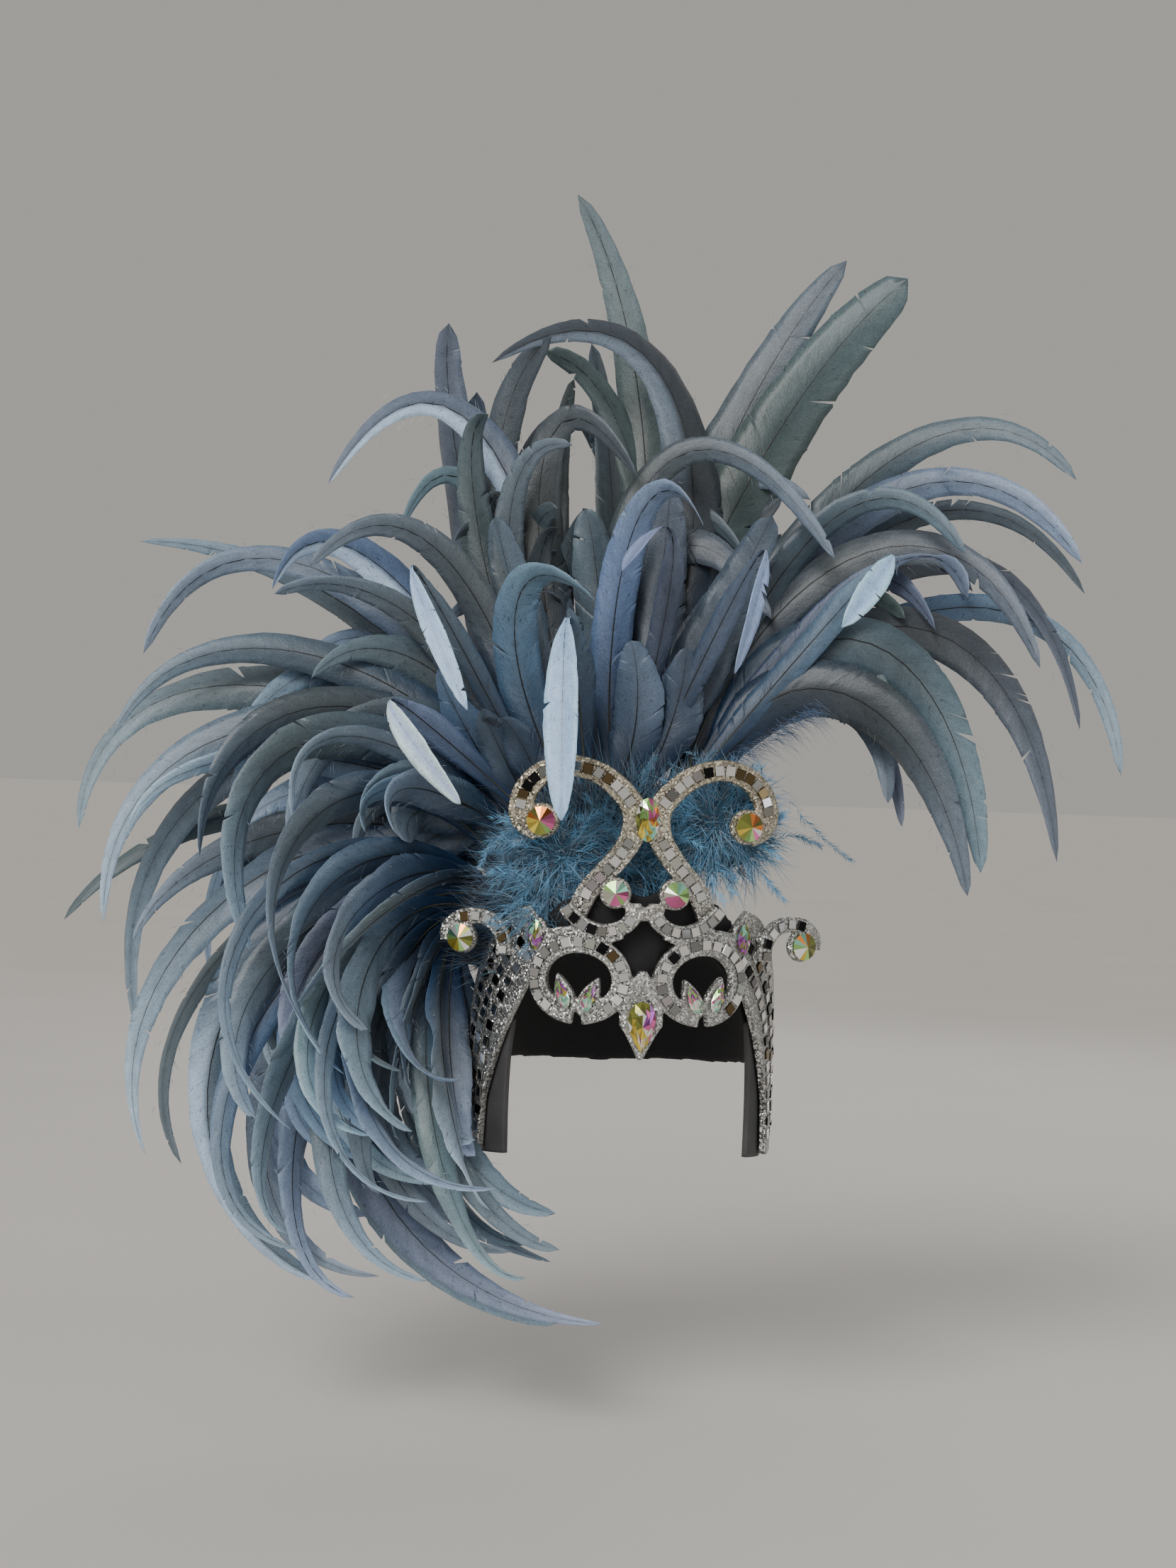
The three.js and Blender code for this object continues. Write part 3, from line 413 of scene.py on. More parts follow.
def add_tube(skin, rings, colour=None):
    """Rings of points (rows, columns, 3) joined to a tube whose ends are closed by their middles."""
    rows, columns = rings.shape[:2]
    points = np.concatenate([rings.reshape(-1, 3), rings[0].mean(0)[None], rings[-1].mean(0)[None]])
    j = np.arange(columns)
    k = (j + 1) % columns
    end = (rows - 1) * columns
    low = np.stack([np.full(columns, rows * columns), k, j], -1)
    high = np.stack([np.full(columns, rows * columns + 1), end + j, end + k], -1)
    quads, low, high = outward(points, grid_faces(rows, columns, wrap=True), low, high)
    start = skin.count
    skin.add(points, quads, None if colour is None else np.tile(colour, (len(points), 1)))
    skin.join(low + start)
    skin.join(high + start)


def band(skin, line, width, out, thick, surface=face, bevel=BEVEL, strips=3):
    """A foam band: a rounded rectangle carried along a line on a surface. Wide bands bend
    across too, because each profile point is placed on the surface by itself."""
    line = np.asarray(line, float)
    half = (np.broadcast_to(width, len(line)) / 2 - bevel)[:, None]
    flat = half * np.linspace(1, -1, 2 * strips + 1)[1:-1]
    across, lift = [], []
    for quarter, (aside, above) in enumerate(((1, 1), (-1, 1), (-1, 0), (1, 0))):
        turn = np.linspace(0, math.pi / 2, 4) + quarter * math.pi / 2
        across.append(aside * half + bevel * np.cos(turn))
        lift.append(bevel + above * (thick - 2 * bevel) + bevel * np.sin(turn))
        if quarter % 2 == 0:                       # extra points across the front and the back
            across.append(flat if above else -flat)
            lift.append(np.full(2 * strips - 1, thick * above))
    across, lift = np.concatenate(across, 1), np.concatenate(lift)
    flat = line[:, None] + leftward(line)[:, None] * across[..., None]
    add_tube(skin, surface(flat[..., 0], flat[..., 1], out + lift))


def disc(skin, stand, outline, thick):
    """A pad with a rounded rim: rings of the outline, drawn in towards its middle."""
    steps = np.linspace(0, math.pi, 9)
    draw = 1 - BEVEL * (1 - np.sin(steps)) / 8
    rings = outline * draw[:, None, None]
    lift = (thick / 2 - thick / 2 * np.cos(steps))[:, None]
    add_tube(skin, stand(stack(rings[..., 0], rings[..., 1], lift)))


def standing(place, x, out):
    """A turn and shift that stands a flat-made piece at a place, from its x way and its normal."""
    y = np.cross(out, x)
    return lambda p: place + p[..., :1] * x + p[..., 1:2] * y + p[..., 2:] * out


def stand_on(s, z, out, lean=0.0):
    """Stands a flat-made piece on the bent face."""
    along = unit(face(s + 1, z, 0) - face(s - 1, z, 0))
    normal = face(s, z, 1) - face(s, z, 0)
    x = along * math.cos(lean) + np.cross(normal, along) * math.sin(lean)
    return standing(face(s, z, out), x, normal)


def stand_at_ear(side, out):
    """Stands a flat-made piece at the middle of an ear scroll."""
    place = ear_plane(side)
    middle = place(0, 0, 0)
    return standing(place(0, 0, out), (place(1, 0, 0) - middle) * side, place(0, 0, 1) - middle)


def oval(width, length, count=40):
    turn = np.linspace(0, 2 * math.pi, count, endpoint=False) + math.pi / 2
    return stack(width / 2 * np.cos(turn), length / 2 * np.sin(turn))


def pear(width, length, count=40):
    """A teardrop, point up: the half-width is sin(t) times a power of sin(t/2)."""
    away = np.linspace(0, 2 * math.pi, count, endpoint=False)
    swell = np.sin(away) * np.abs(np.sin(away / 2)) ** 0.8
    return stack(-width * 0.58 * swell, length / 2 * np.cos(away))


def fused(skin, name, material, voxel=FINE_VOXEL, smoothing=3):
    """Joins overlapping closed shells into one skin by a voxel remesh, and softens its edges."""
    rough = skin.make(name + "_rough", material, attributes=False)
    remesh = rough.modifiers.new("Remesh", "REMESH")
    remesh.mode, remesh.voxel_size, remesh.use_smooth_shade = "VOXEL", voxel, True
    soften = rough.modifiers.new("Smooth", "SMOOTH")
    soften.factor, soften.iterations = 0.5, smoothing
    shape = rough.evaluated_get(bpy.context.evaluated_depsgraph_get())
    mesh = bpy.data.meshes.new_from_object(shape)
    mesh.name = name
    bpy.data.objects.remove(rough)
    return put(name, mesh)


def finish_piece(piece, slot, *nodes):
    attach(piece, "root")
    if nodes:
        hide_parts(*nodes)


# Materials

def written(name, write, *values):
    """A material by name. Its nodes are written if it isn't there yet."""
    if name not in bpy.data.materials:
        write(Nodes(name), *values)
    return bpy.data.materials[name]


def times(share, colour):
    return tuple(share * channel for channel in colour)


class Nodes:
    """A short way to write a material's nodes."""

    def __init__(self, name):
        material = bpy.data.materials.new(name)
        material.use_nodes = True
        self.tree = material.node_tree

    def feed(self, socket, value):
        """Sets an input, or links it to an output."""
        if isinstance(value, bpy.types.NodeSocket):
            self.tree.links.new(value, socket)
        else:
            socket.default_value = value

    def add(self, kind, inputs, output=0, **settings):
        """Adds a node, and gives one of its outputs."""
        node = self.tree.nodes.new("ShaderNode" + kind)
        for key, value in settings.items():
            setattr(node, key, value)
        for key, value in inputs.items():
            self.feed(node.inputs[key], value)
        return node.outputs[output]

    def set(self, **values):
        for key, value in values.items():
            self.feed(self.tree.nodes["Principled BSDF"].inputs[key.replace("_", " ")], value)

    def ramp(self, value, *stops):
        colour = self.add("ValToRGB", {"Fac": value}, "Color")
        elements = colour.node.color_ramp.elements
        for _ in stops[2:]:
            elements.new(0.5)
        for element, (position, tone) in zip(elements, stops):
            element.position, element.color = position, (*tone, 1)
        return colour

    def mix(self, factor, a, b, blend="MIX"):
        a, b = ((*tone, 1) if isinstance(tone, tuple) else tone for tone in (a, b))
        return self.add("Mix", {0: factor, 6: a, 7: b}, 2, data_type="RGBA", blend_type=blend)

    def math(self, operation, a, b):
        return self.add("Math", {0: a, 1: b}, operation=operation)

    def vector(self, operation, inputs):
        return self.add("VectorMath", inputs, operation=operation)

    def bump(self, height, strength, distance):
        return self.add("Bump", {"Height": height, "Strength": strength, "Distance": distance})

    def place(self):
        return self.add("TexCoord", {}, "Object")

    def tint(self):
        return self.add("Attribute", {}, "Color", attribute_name="tint")

    def noise(self, scale, detail, place=None, roughness=0.5):
        return self.add("TexNoise", {"Vector": self.place() if place is None else place,
                                     "Scale": scale, "Detail": detail, "Roughness": roughness}, "Fac")

    def cells(self, scale, output):
        return self.add("TexVoronoi", {"Vector": self.place(), "Scale": scale}, output)


def glitter_foam(n, middle):
    """Silver glitter foam: flakes under a millimetre, each with its own tilt and brightness."""
    flakes = n.cells(1150.0, "Color")
    tilt = n.vector("SCALE", {0: n.vector("SUBTRACT", {0: flakes, 1: (0.5, 0.5, 0.5)}), "Scale": 1.1})
    normal = n.add("NewGeometry", {}, "Normal")
    leaning = n.vector("NORMALIZE", {0: n.vector("ADD", {0: normal, 1: tilt})})
    colour = n.ramp(n.add("SeparateColor", {"Color": flakes}), (0.0, times(0.4, middle)),
                    (0.35, times(0.75, middle)), (0.8, times(1.35, middle)), (0.93, (0.9, 0.9, 0.88)),
                    (1.0, (1, 1, 1)))
    height = n.add("SeparateXYZ", {0: n.place()}, 2)
    up_high = n.add("MapRange", {"Value": height, "From Min": 0.0, "From Max": 0.07})
    warm = n.mix(1.0, colour, (1.0, 0.90, 0.72), "MULTIPLY")
    n.set(Base_Color=n.mix(up_high, colour, warm), Metallic=0.8, Roughness=0.36, Normal=leaning)


def small_mirror(n):
    """Small mirrors: bright metal, each tinted with a painted reflection of its own, a little smudged.
    """
    n.set(Base_Color=n.tint(), Metallic=1.0, Roughness=n.math("MULTIPLY", n.noise(240.0, 3.0), 0.14))


def rainbow_stone(n):
    """Foil-backed rainbow glass: each facet has its own colour, under a clear hard gloss."""
    depth = n.math("MULTIPLY", n.noise(420.0, 2.0), 0.5)
    n.set(Base_Color=n.mix(depth, n.tint(), (0.95, 0.9, 0.8), "SOFT_LIGHT"),
          Metallic=0.8, Roughness=0.16, Coat_Weight=0.6, Coat_Roughness=0.03)


def plain_foam(n, colour, roughness):
    """Foam sheet: matt, with a fine closed-cell grain."""
    n.set(Base_Color=n.mix(n.noise(60.0, 4.0), times(0.6, colour), times(1.4, colour)),
          Roughness=roughness, Normal=n.bump(n.cells(2200.0, "Distance"), 0.35, 0.0003))


def feather_vane(n):
    """A dyed vane: its own tint, with slanted barbs as fine streaks in colour and height."""
    uv = n.add("UVMap", {}, "UV", uv_map="UVMap")
    across, along = (n.add("SeparateXYZ", {0: uv}, i) for i in (0, 1))
    streaks = n.add("CombineXYZ", {0: n.math("MULTIPLY", across, 0.5), 1: along})
    barbs, locks = n.noise(230.0, 3.0, streaks, 0.65), n.noise(32.0, 3.0, streaks)
    colour = n.tint()
    for ramp in (
        n.ramp(barbs, (0.3, (0.7, 0.71, 0.72)), (0.7, (1.3, 1.29, 1.28))),
        n.ramp(locks, (0.3, (0.84, 0.85, 0.86)), (0.7, (1.14, 1.13, 1.12))),
        n.ramp(n.noise(75.0, 1.0, streaks), (0.66, (1, 1, 1)), (0.72, (0.62, 0.64, 0.66))),
    ):
        colour = n.mix(1.0, colour, ramp, "MULTIPLY")
    height = n.math("ADD", barbs, n.math("MULTIPLY", locks, 2.0))
    n.set(Base_Color=colour, Roughness=0.36, Normal=n.bump(height, 0.4, 0.0005),
          Sheen_Weight=0.12, Sheen_Roughness=0.4, Specular_IOR_Level=0.55)


def feather_quill(n):
    """A quill: horny and glossy, dark along the vane and pale at the root."""
    colour = n.mix(n.noise(500.0, 2.0), n.tint(), (0.05, 0.06, 0.05), "SOFT_LIGHT")
    n.set(Base_Color=colour, Roughness=0.35)


def down_barbs(n):
    """Down: soft and dull with a wide sheen."""
    cloud = n.ramp(n.noise(90.0, 5.0), (0.3, (0.55, 0.6, 0.62)), (0.7, (1.25, 1.2, 1.15)))
    n.set(Base_Color=n.mix(1.0, n.tint(), cloud, "MULTIPLY"), Roughness=0.85, Sheen_Weight=0.6,
          Sheen_Roughness=0.5)


def speckled_floor(n, tone):
    """A pale floor with a faint wide mottle."""
    lighter = tuple(min(channel, 1) for channel in times(1.05, tone))
    n.set(Base_Color=n.mix(n.noise(3.0, 6.0), times(0.95, tone), lighter), Roughness=0.8)


def black_foam(context):
    return written("cap_foam", plain_foam, tuple(context.scene.headdress_crown.cap_colour), 0.8)


# Settings

def colour_setting(name, description, *default):
    return FloatVectorProperty(name=name, description=description, subtype="COLOR", size=3,
                               default=default, min=0, max=1)


class HEADDRESS_PG_crown(bpy.types.PropertyGroup):
    tile_size: FloatProperty(name="Mirror size", description="Side of one square mirror", default=0.0058,
                             min=0.003, max=0.01, unit="LENGTH")
    glitter_colour: colour_setting("Glitter", "Middle tone of the glitter foam", 0.45, 0.45, 0.435)
    cap_colour: colour_setting("Cap foam", "Colour of the black foam", 0.012, 0.012, 0.014)
    strap_colour: colour_setting("Strap foam", "Colour of the inner straps", 0.055, 0.055, 0.058)


class HEADDRESS_PG_feathers(bpy.types.PropertyGroup):
    fillers: FloatProperty(name="Inner feathers", description="Share of the shorter feathers made",
                           default=1, min=0, max=1, subtype="FACTOR")
    # The root colour is partly a darker dye and partly painted shade among the crowded roots.
    root_colour: colour_setting("Root", "Colour of a feather near its root", 0.007, 0.024, 0.060)
    green_colour: colour_setting("Grey-green", "Vane of the greenest dye", 0.044, 0.060, 0.060)
    middle_colour: colour_setting("Grey-blue", "Vane of the middle dye", 0.044, 0.059, 0.070)
    blue_colour: colour_setting("Periwinkle", "Vane of the bluest dye", 0.075, 0.125, 0.225)
    # A pale tip is partly a paler dye and partly a painted highlight.
    tip_colour: colour_setting("Tip", "Colour of a pale tip", 0.195, 0.262, 0.345)
    # The underside colour is partly its own paler colour and partly a painted satin sheen.
    under_colour: colour_setting("Underside", "Colour of the vane's underside", 0.27, 0.39, 0.62)
    down_colour: colour_setting("Down", "Colour of the down behind the crown", 0.076, 0.235, 0.40)


class HEADDRESS_PG_stage(bpy.types.PropertyGroup):
    floor_colour: colour_setting("Floor", "Colour of the floor", 0.62, 0.60, 0.57)
    backdrop_colour: colour_setting("Backdrop", "Colour of the light all round", 0.40, 0.385, 0.36)
    drop: FloatProperty(name="Floor below seat", description="Height of the seat above the floor",
                        default=0.30, min=0.25, max=2, unit="LENGTH")
    sun_strength: FloatProperty(name="Sun", description="Strength of the broad light from above",
                                default=1.6, min=0, max=20)
    key_power: FloatProperty(name="Key light", description="Strength of the light in front",
                             default=9, min=0, max=500, unit="POWER")


# Operators

class HEADDRESS_OT_stage(bpy.types.Operator):
    """Floor, soft lights, and the camera opposite the chart"""
    bl_idname = "headdress.stage"
    bl_label = "Stage"

    def execute(self, context):
        settings = context.scene.headdress_stage
        skin = Skin()
        x, y = np.meshgrid(*[np.linspace(-FLOOR_REACH, FLOOR_REACH, 3)] * 2)
        skin.add(stack(x, y, -settings.drop / MM), grid_faces(3, 3))
        skin.make("floor", written("floor", speckled_floor, tuple(settings.floor_colour)))
        world = bpy.data.worlds.new("studio")
        context.scene.world = world
        world.use_nodes = True
        backdrop = world.node_tree.nodes["Background"].inputs
        backdrop["Color"].default_value = (*settings.backdrop_colour, 1)
        backdrop["Strength"].default_value = 1.0
        sun = bpy.data.lights.new("sun", "SUN")
        sun.energy, sun.angle, sun.color = settings.sun_strength, math.radians(24), (1.0, 0.98, 0.95)
        put("sun", sun).rotation_euler = [math.radians(turn) for turn in (48, -8, -28)]
        for name, place, size, share, colour in (
            ("key", (-0.8, -1.7, 0.9), 0.9, 1.0, (1.0, 0.99, 0.97)),
            ("fill", (1.5, -1.2, 0.5), 0.9, 0.5, (0.90, 0.95, 1.0)),
            ("back", (0.9, 1.8, 1.1), 1.2, 0.8, (0.95, 0.97, 1.0)),
        ):
            lamp = bpy.data.lights.new(name, "AREA")
            lamp.size, lamp.energy, lamp.color = size, settings.key_power * share, colour
            light = put(name, lamp)
            light.location = place
            light.rotation_euler = (-light.location.normalized()).to_track_quat("-Z", "Y").to_euler()
        lens = bpy.data.cameras.new("camera")
        lens.sensor_fit, lens.sensor_height, lens.clip_end = "VERTICAL", SENSOR, 200
        lens.lens = SENSOR * SIGHT_SCALE * SIGHT_DISTANCE / SIGHT_TALL
        camera = put("camera", lens)
        camera.location = STANDPOINT * MM
        camera.rotation_euler = (math.pi / 2, -SIGHT_LEAN, -SIGHT_TURN)
        context.scene.camera = camera
        return {"FINISHED"}


def dome(grow, rounds=96, steps=26):
    """The cap's dome: a super-ellipse in section whose power grows towards the front, over an
    ellipse in plan, and cut off at a rim whose depth varies round the head."""
    turn = np.linspace(-math.pi, math.pi, rounds, endpoint=False)
    rim = np.interp(np.abs(np.degrees(turn)), *RIM)
    down = rim * (np.linspace(0, 1, steps)[:, None]) ** 1.6
    power = 2.6 + 3.4 * np.maximum(np.cos(turn), 0) ** 2
    part = (1 - (1 - np.minimum(down / HEAD_HEIGHT, 1)) ** power) ** (1 / power)
    reach = np.where(np.cos(turn) > 0, HEAD_FRONT, HEAD_BACK) + grow
    return stack((HEAD_HALF_WIDTH + grow) * np.sin(turn) * part, -reach * np.cos(turn) * part,
                 grow - down * (1 + grow / HEAD_HEIGHT))


class HEADDRESS_OT_cap(bpy.types.Operator):
    """The black foam cap and its plate, the feather board, and the grey inner straps"""
    bl_idname = "headdress.cap"
    bl_label = "Cap and board"

    def execute(self, context):
        black = black_foam(context)
        grey = written("strap_foam", plain_foam, tuple(context.scene.headdress_crown.strap_colour), 0.7)
        skin = Skin()
        add_tube(skin, np.concatenate([dome(0), dome(CAP_WALL)[::-1]]))
        s = np.linspace(-62, 62, 61)
        low, high = (np.interp(s, PLATE[:, 0], PLATE[:, k])[:, None] for k in (1, 2))
        height = low + (high - low) * np.linspace(0, 1, 9)
        sheet = [face(s[:, None], height, -0.6), face(s[:, None], height[:, ::-1], -5)]
        add_tube(skin, np.concatenate(sheet, 1))
        finish_piece(fused(skin, "cap", black, CAP_VOXEL, 8), "black_foam", "skull_cap")
        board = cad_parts["feather_board"].data
        board.materials.clear()
        board.materials.append(black)
        for word, side in SIDES:
            skin = Skin()
            band(skin, smooth_line(mirrored(STRAP, side), 40), np.linspace(43, 30, 40), -4.2, 3.4,
                 bevel=0.5, strips=6)
            finish_piece(skin.make(f"strap_{word}", grey, attributes=False), "grey_foam",
                         f"inner_strap_{word}")
        return {"FINISHED"}


def ring_line(side, count, start=0.1, grow=0.0):
    """One ring: an ellipse that is open at its foot."""
    turn = np.linspace(start, 2 * math.pi - start, count)
    return stack(side * (RING_CENTRE[0] + (RING_ACROSS + grow) * np.sin(turn)),
                 RING_CENTRE[1] - (RING_UP + grow) * np.cos(turn))


class HEADDRESS_OT_scrolls(bpy.types.Operator):
    """The glitter foam: horns, crown plate, side panels and ear scrolls"""
    bl_idname = "headdress.scrolls"
    bl_label = "Glitter scrolls"

    def execute(self, context):
        look = context.scene.headdress_crown
        glitter = written("glitter_foam", glitter_foam, tuple(look.glitter_colour))
        horns, crown = Skin(), Skin()

        def bar(skin, rows, count, width, out=FRONT_LAYER):
            band(skin, smooth_line(rows, count), width, out, FOAM)

        def pad(skin, s, z, outline, out=FRONT_LAYER, lean=0.0, thick=FOAM):
            disc(skin, stand_on(s, z, out, lean), outline, thick)

        for _, side in SIDES:
            bar(horns, mirrored(HORN, side), 130, np.linspace(12.6, 11, 130), BACK_LAYER)
            pad(horns, side * HORN_STONE[0], HORN_STONE[1], oval(20.5, 20.5), BACK_LAYER)
            band(crown, ring_line(side, 120), RING_BAND, FRONT_LAYER, FOAM)
            bar(crown, mirrored(MID_SCROLL, side), 60, 8.6)
            pad(crown, side * MID_STONE[0], MID_STONE[1], oval(18.2, 18.2))
            for s, z, lean in PEARS.values():
                pad(crown, side * s, z, pear(13, 25), lean=side * lean)
            bar(crown, mirrored(NECK, side), 40, 9)
            pad(crown, side * TEMPLE_STONE[0], TEMPLE_STONE[1], oval(14, 20), FRONT_LAYER + 1,
                thick=FOAM - 1)
        along = np.linspace(0, 1, 40)
        width = np.where(along < 0.3, 4 + 62 * along, 23 - 44 * np.maximum(along - 0.62, 0) ** 0.8)
        bar(crown, PENDANT, 40, np.maximum(width, 2.4))
        bar(crown, BRIDGE, 12, 8)
        finish_piece(fused(horns, "horns", glitter), "silver_glitter", "horn_scrolls")
        finish_piece(fused(crown, "crown", glitter), "silver_glitter", "crown_plate")
        along = np.linspace(0, 1, 80)
        width = 26 + 18 * np.sin(math.pi * np.minimum(along * 1.25, 1)) - 4 * along
        for word, side in SIDES:
            panel, ear = Skin(), Skin()
            band(panel, smooth_line(mirrored(SIDE_PANEL, side), 80), width, BACK_LAYER, PANEL_FOAM,
                 strips=8)
            finish_piece(panel.make(f"panel_{word}", glitter, attributes=False), "silver_glitter",
                         f"side_panel_{word}")
            band(ear, smooth_line(EAR_SCROLL, 60), np.linspace(9.6, 8.6, 60), 0.2, FOAM, ear_plane(side))
            disc(ear, stand_at_ear(side, 0.2), oval(18.5, 18.5), FOAM)
            finish_piece(fused(ear, f"ear_{word}", glitter), "silver_glitter", f"ear_scroll_{word}")
        return {"FINISHED"}


def tile_row(skin, line, count, size, out, surface, rng):
    """Separate square mirrors along a line: each is a thin bevelled square with a small turn
    and tilt of its own, and a painted reflection: a tone that is mostly silver, at times dark,
    brown or white, for the surroundings it would mirror. Its sides are painted darker towards
    the foot, as painted shade."""
    shares = (np.arange(count) + 0.5) / count
    middle = resample(line, shares)
    ahead = unit(resample(line, shares + 0.02) - resample(line, shares - 0.02))
    spin = rng.normal(0, 0.06, count)
    ahead = stack(ahead[:, 0] * np.cos(spin) - ahead[:, 1] * np.sin(spin),
                  ahead[:, 0] * np.sin(spin) + ahead[:, 1] * np.cos(spin)) * 0.5
    x = unit(surface(*(middle + ahead).T, 0) - surface(*(middle - ahead).T, 0))
    normal = surface(*middle.T, 1) - surface(*middle.T, 0)
    normal = unit(normal + rng.normal(0, 0.035, (count, 3)))
    y = unit(np.cross(normal, x))
    x = np.cross(y, normal)
    place = surface(*middle.T, out)
    corner_x, corner_y = np.array([(-1, 1, 1, -1), (-1, -1, 1, 1)], float)[..., None]
    long_side = size * rng.uniform(0.88, 1.02, count)[:, None, None]
    points = np.stack([
        place[:, None] + x[:, None] * (corner_x * share * long_side / 2)
        + y[:, None] * (corner_y * share * size / 2) + normal[:, None] * lift
        for share, lift in ((1.0, 0.0), (1.0, 0.75), (0.9, 1.05))
    ], 1)                                           # tile, level, corner, xyz
    quads, = outward(points[0], capped(grid_faces(3, 4, wrap=True), np.array([[0, 1, 2, 3]]), 8))
    # Painted reflections: each mirror's tone stands for the dark, brown or bright surroundings it would
    # show.
    pick = rng.random(count)
    tone = rng.uniform(0.22, 0.7, (count, 1)) * (1 + rng.normal(0, 0.03, (count, 3)))
    tone[pick < 0.18] = (0.02, 0.02, 0.022)
    tone[(pick >= 0.18) & (pick < 0.27)] = (0.16, 0.115, 0.06)
    tone[pick > 0.7] = (1.0, 1.0, 1.0)
    # Painted shade: the sides of each mirror darken towards its foot.
    shade = np.repeat([0.12, 0.45, 1.0], 4)[None, :, None]
    skin.add(points, copies(quads, 12, count), opaque(np.clip(tone[:, None] * shade, 0, 1)))


class HEADDRESS_OT_mirrors(bpy.types.Operator):
    """Rows of small square mirrors on the scrolls and the side panels"""
    bl_idname = "headdress.mirrors"
    bl_label = "Mirrors"

    def execute(self, context):
        size = context.scene.headdress_crown.tile_size / MM
        mirror = written("small_mirror", small_mirror)
        rng = np.random.default_rng(11)
        for word, side in SIDES:
            for name, line, count, share, out, surface in (
                ("horn", smooth_line(mirrored(HORN, side)[2:10], 80), 14, 1, HORN_TOP, face),
                ("stem", smooth_line(mirrored(STEM_ROW, side), 60), 7, 1, HORN_TOP, face),
                ("mid", smooth_line(mirrored(MID_SCROLL, side)[1:], 60), 8, 0.92, CROWN_TOP - 0.1, face),
                ("ring", ring_line(side, 90, 0.62, 1.0), 17, 1, CROWN_TOP - 0.1, face),
                ("ear", smooth_line(EAR_SCROLL[:5], 60), 6, 0.92, FOAM + 0.25, ear_plane(side)),
            ):
                skin = Skin()
                tile_row(skin, line, count, size * share, out, surface, rng)
                finish_piece(skin.make(f"{name}_mirrors_{word}", mirror, smooth=False),
                             "mirror_tile", f"{name}_tiles_{word}")
            skin = Skin()
            line = smooth_line(mirrored(SIDE_PANEL, side), 80)[8:76]
            for shift, count in ((-10, 15), (0, 17), (9, 12)):
                tile_row(skin, line + leftward(line) * shift, count, size * 0.95,
                         BACK_LAYER + PANEL_FOAM - 0.05, face, rng)
            finish_piece(skin.make(f"panel_mirrors_{word}", mirror, smooth=False), "mirror_tile")
        return {"FINISHED"}


AMBER, LIME, ROSE = (0.85, 0.62, 0.08), (0.38, 0.72, 0.22), (0.85, 0.16, 0.42)
FLAME, PLUM, MINT = (0.90, 0.26, 0.05), (0.42, 0.10, 0.50), (0.30, 0.75, 0.55)
OLIVE, PEARL = (0.24, 0.26, 0.05), (0.85, 0.85, 0.72)
FACETS = 14                        # round a stone
PALETTES = {
    "horn": (LIME, AMBER, OLIVE, FLAME, ROSE, OLIVE),
    "mid": (ROSE, PEARL, LIME, MINT, LIME, ROSE),
    "ear": (AMBER, LIME, MINT, FLAME, OLIVE, LIME),
    "temple": (OLIVE, PLUM, MINT, OLIVE, PEARL, PLUM),
    "pear": (PEARL, ROSE, LIME, PLUM, AMBER, MINT),
    "crossing": (AMBER, OLIVE, LIME, ROSE, FLAME, MINT),
    "drop": (PLUM, ROSE, PEARL, AMBER, AMBER, OLIVE),
}


def cut_stone(skin, stand, outline, depth, table, palette, rng, crown_rows):
    """A cut stone: rings of the outline drawn in from the girdle, every second ring turned by
    half a facet so the facets are kites and triangles. A table of nothing brings the facets
    to a point. Each facet has its own vertices, and a colour by its place round the stone."""
    half_step = (outline + np.roll(outline, -1, 0)) / 2 * 1.02
    share = (np.arange(crown_rows) + 1) / crown_rows
    scales = [(0.9, 0.0), (1.0, depth * 0.26), (1.0, depth * 0.36),
              *zip(1 - (1 - table) * share, depth * (0.36 + 0.64 * share))]
    rings = [stack(*((half_step if index == 3 else outline) * scale).T, lift)
             for index, (scale, lift) in enumerate(scales)]
    triangles = []
    for a, b in zip(rings, rings[1:]):
        next_a, next_b = np.roll(a, -1, 0), np.roll(b, -1, 0)
        triangles += [np.stack([a, next_a, b], 1), np.stack([next_a, next_b, b], 1)]
    for ring, order in ((rings[-1], 1), (rings[0], -1)):
        first, second = (ring, np.roll(ring, -1, 0))[::order]
        triangles.append(np.stack([first, second, np.broadcast_to(ring.mean(0), ring.shape)], 1))
    points = np.concatenate(triangles)
    middle = points.mean(1)
    around = np.arctan2(middle[:, 0], middle[:, 1] + 0.01) / (2 * math.pi) + 0.5
    colours = np.asarray(palette)
    pick = (around * len(colours) + rng.normal(0, 0.5, len(around))) % len(colours)
    colour = colours[pick.astype(int)] * rng.uniform(0.3, 1.2, (len(around), 1))
    colour[rng.random(len(around)) < 0.08] = 1.0
    skin.add(stand(points.reshape(-1, 3)), np.arange(len(points) * 3).reshape(-1, 3),
             np.repeat(opaque(np.clip(colour, 0, 1)), 3, 0))


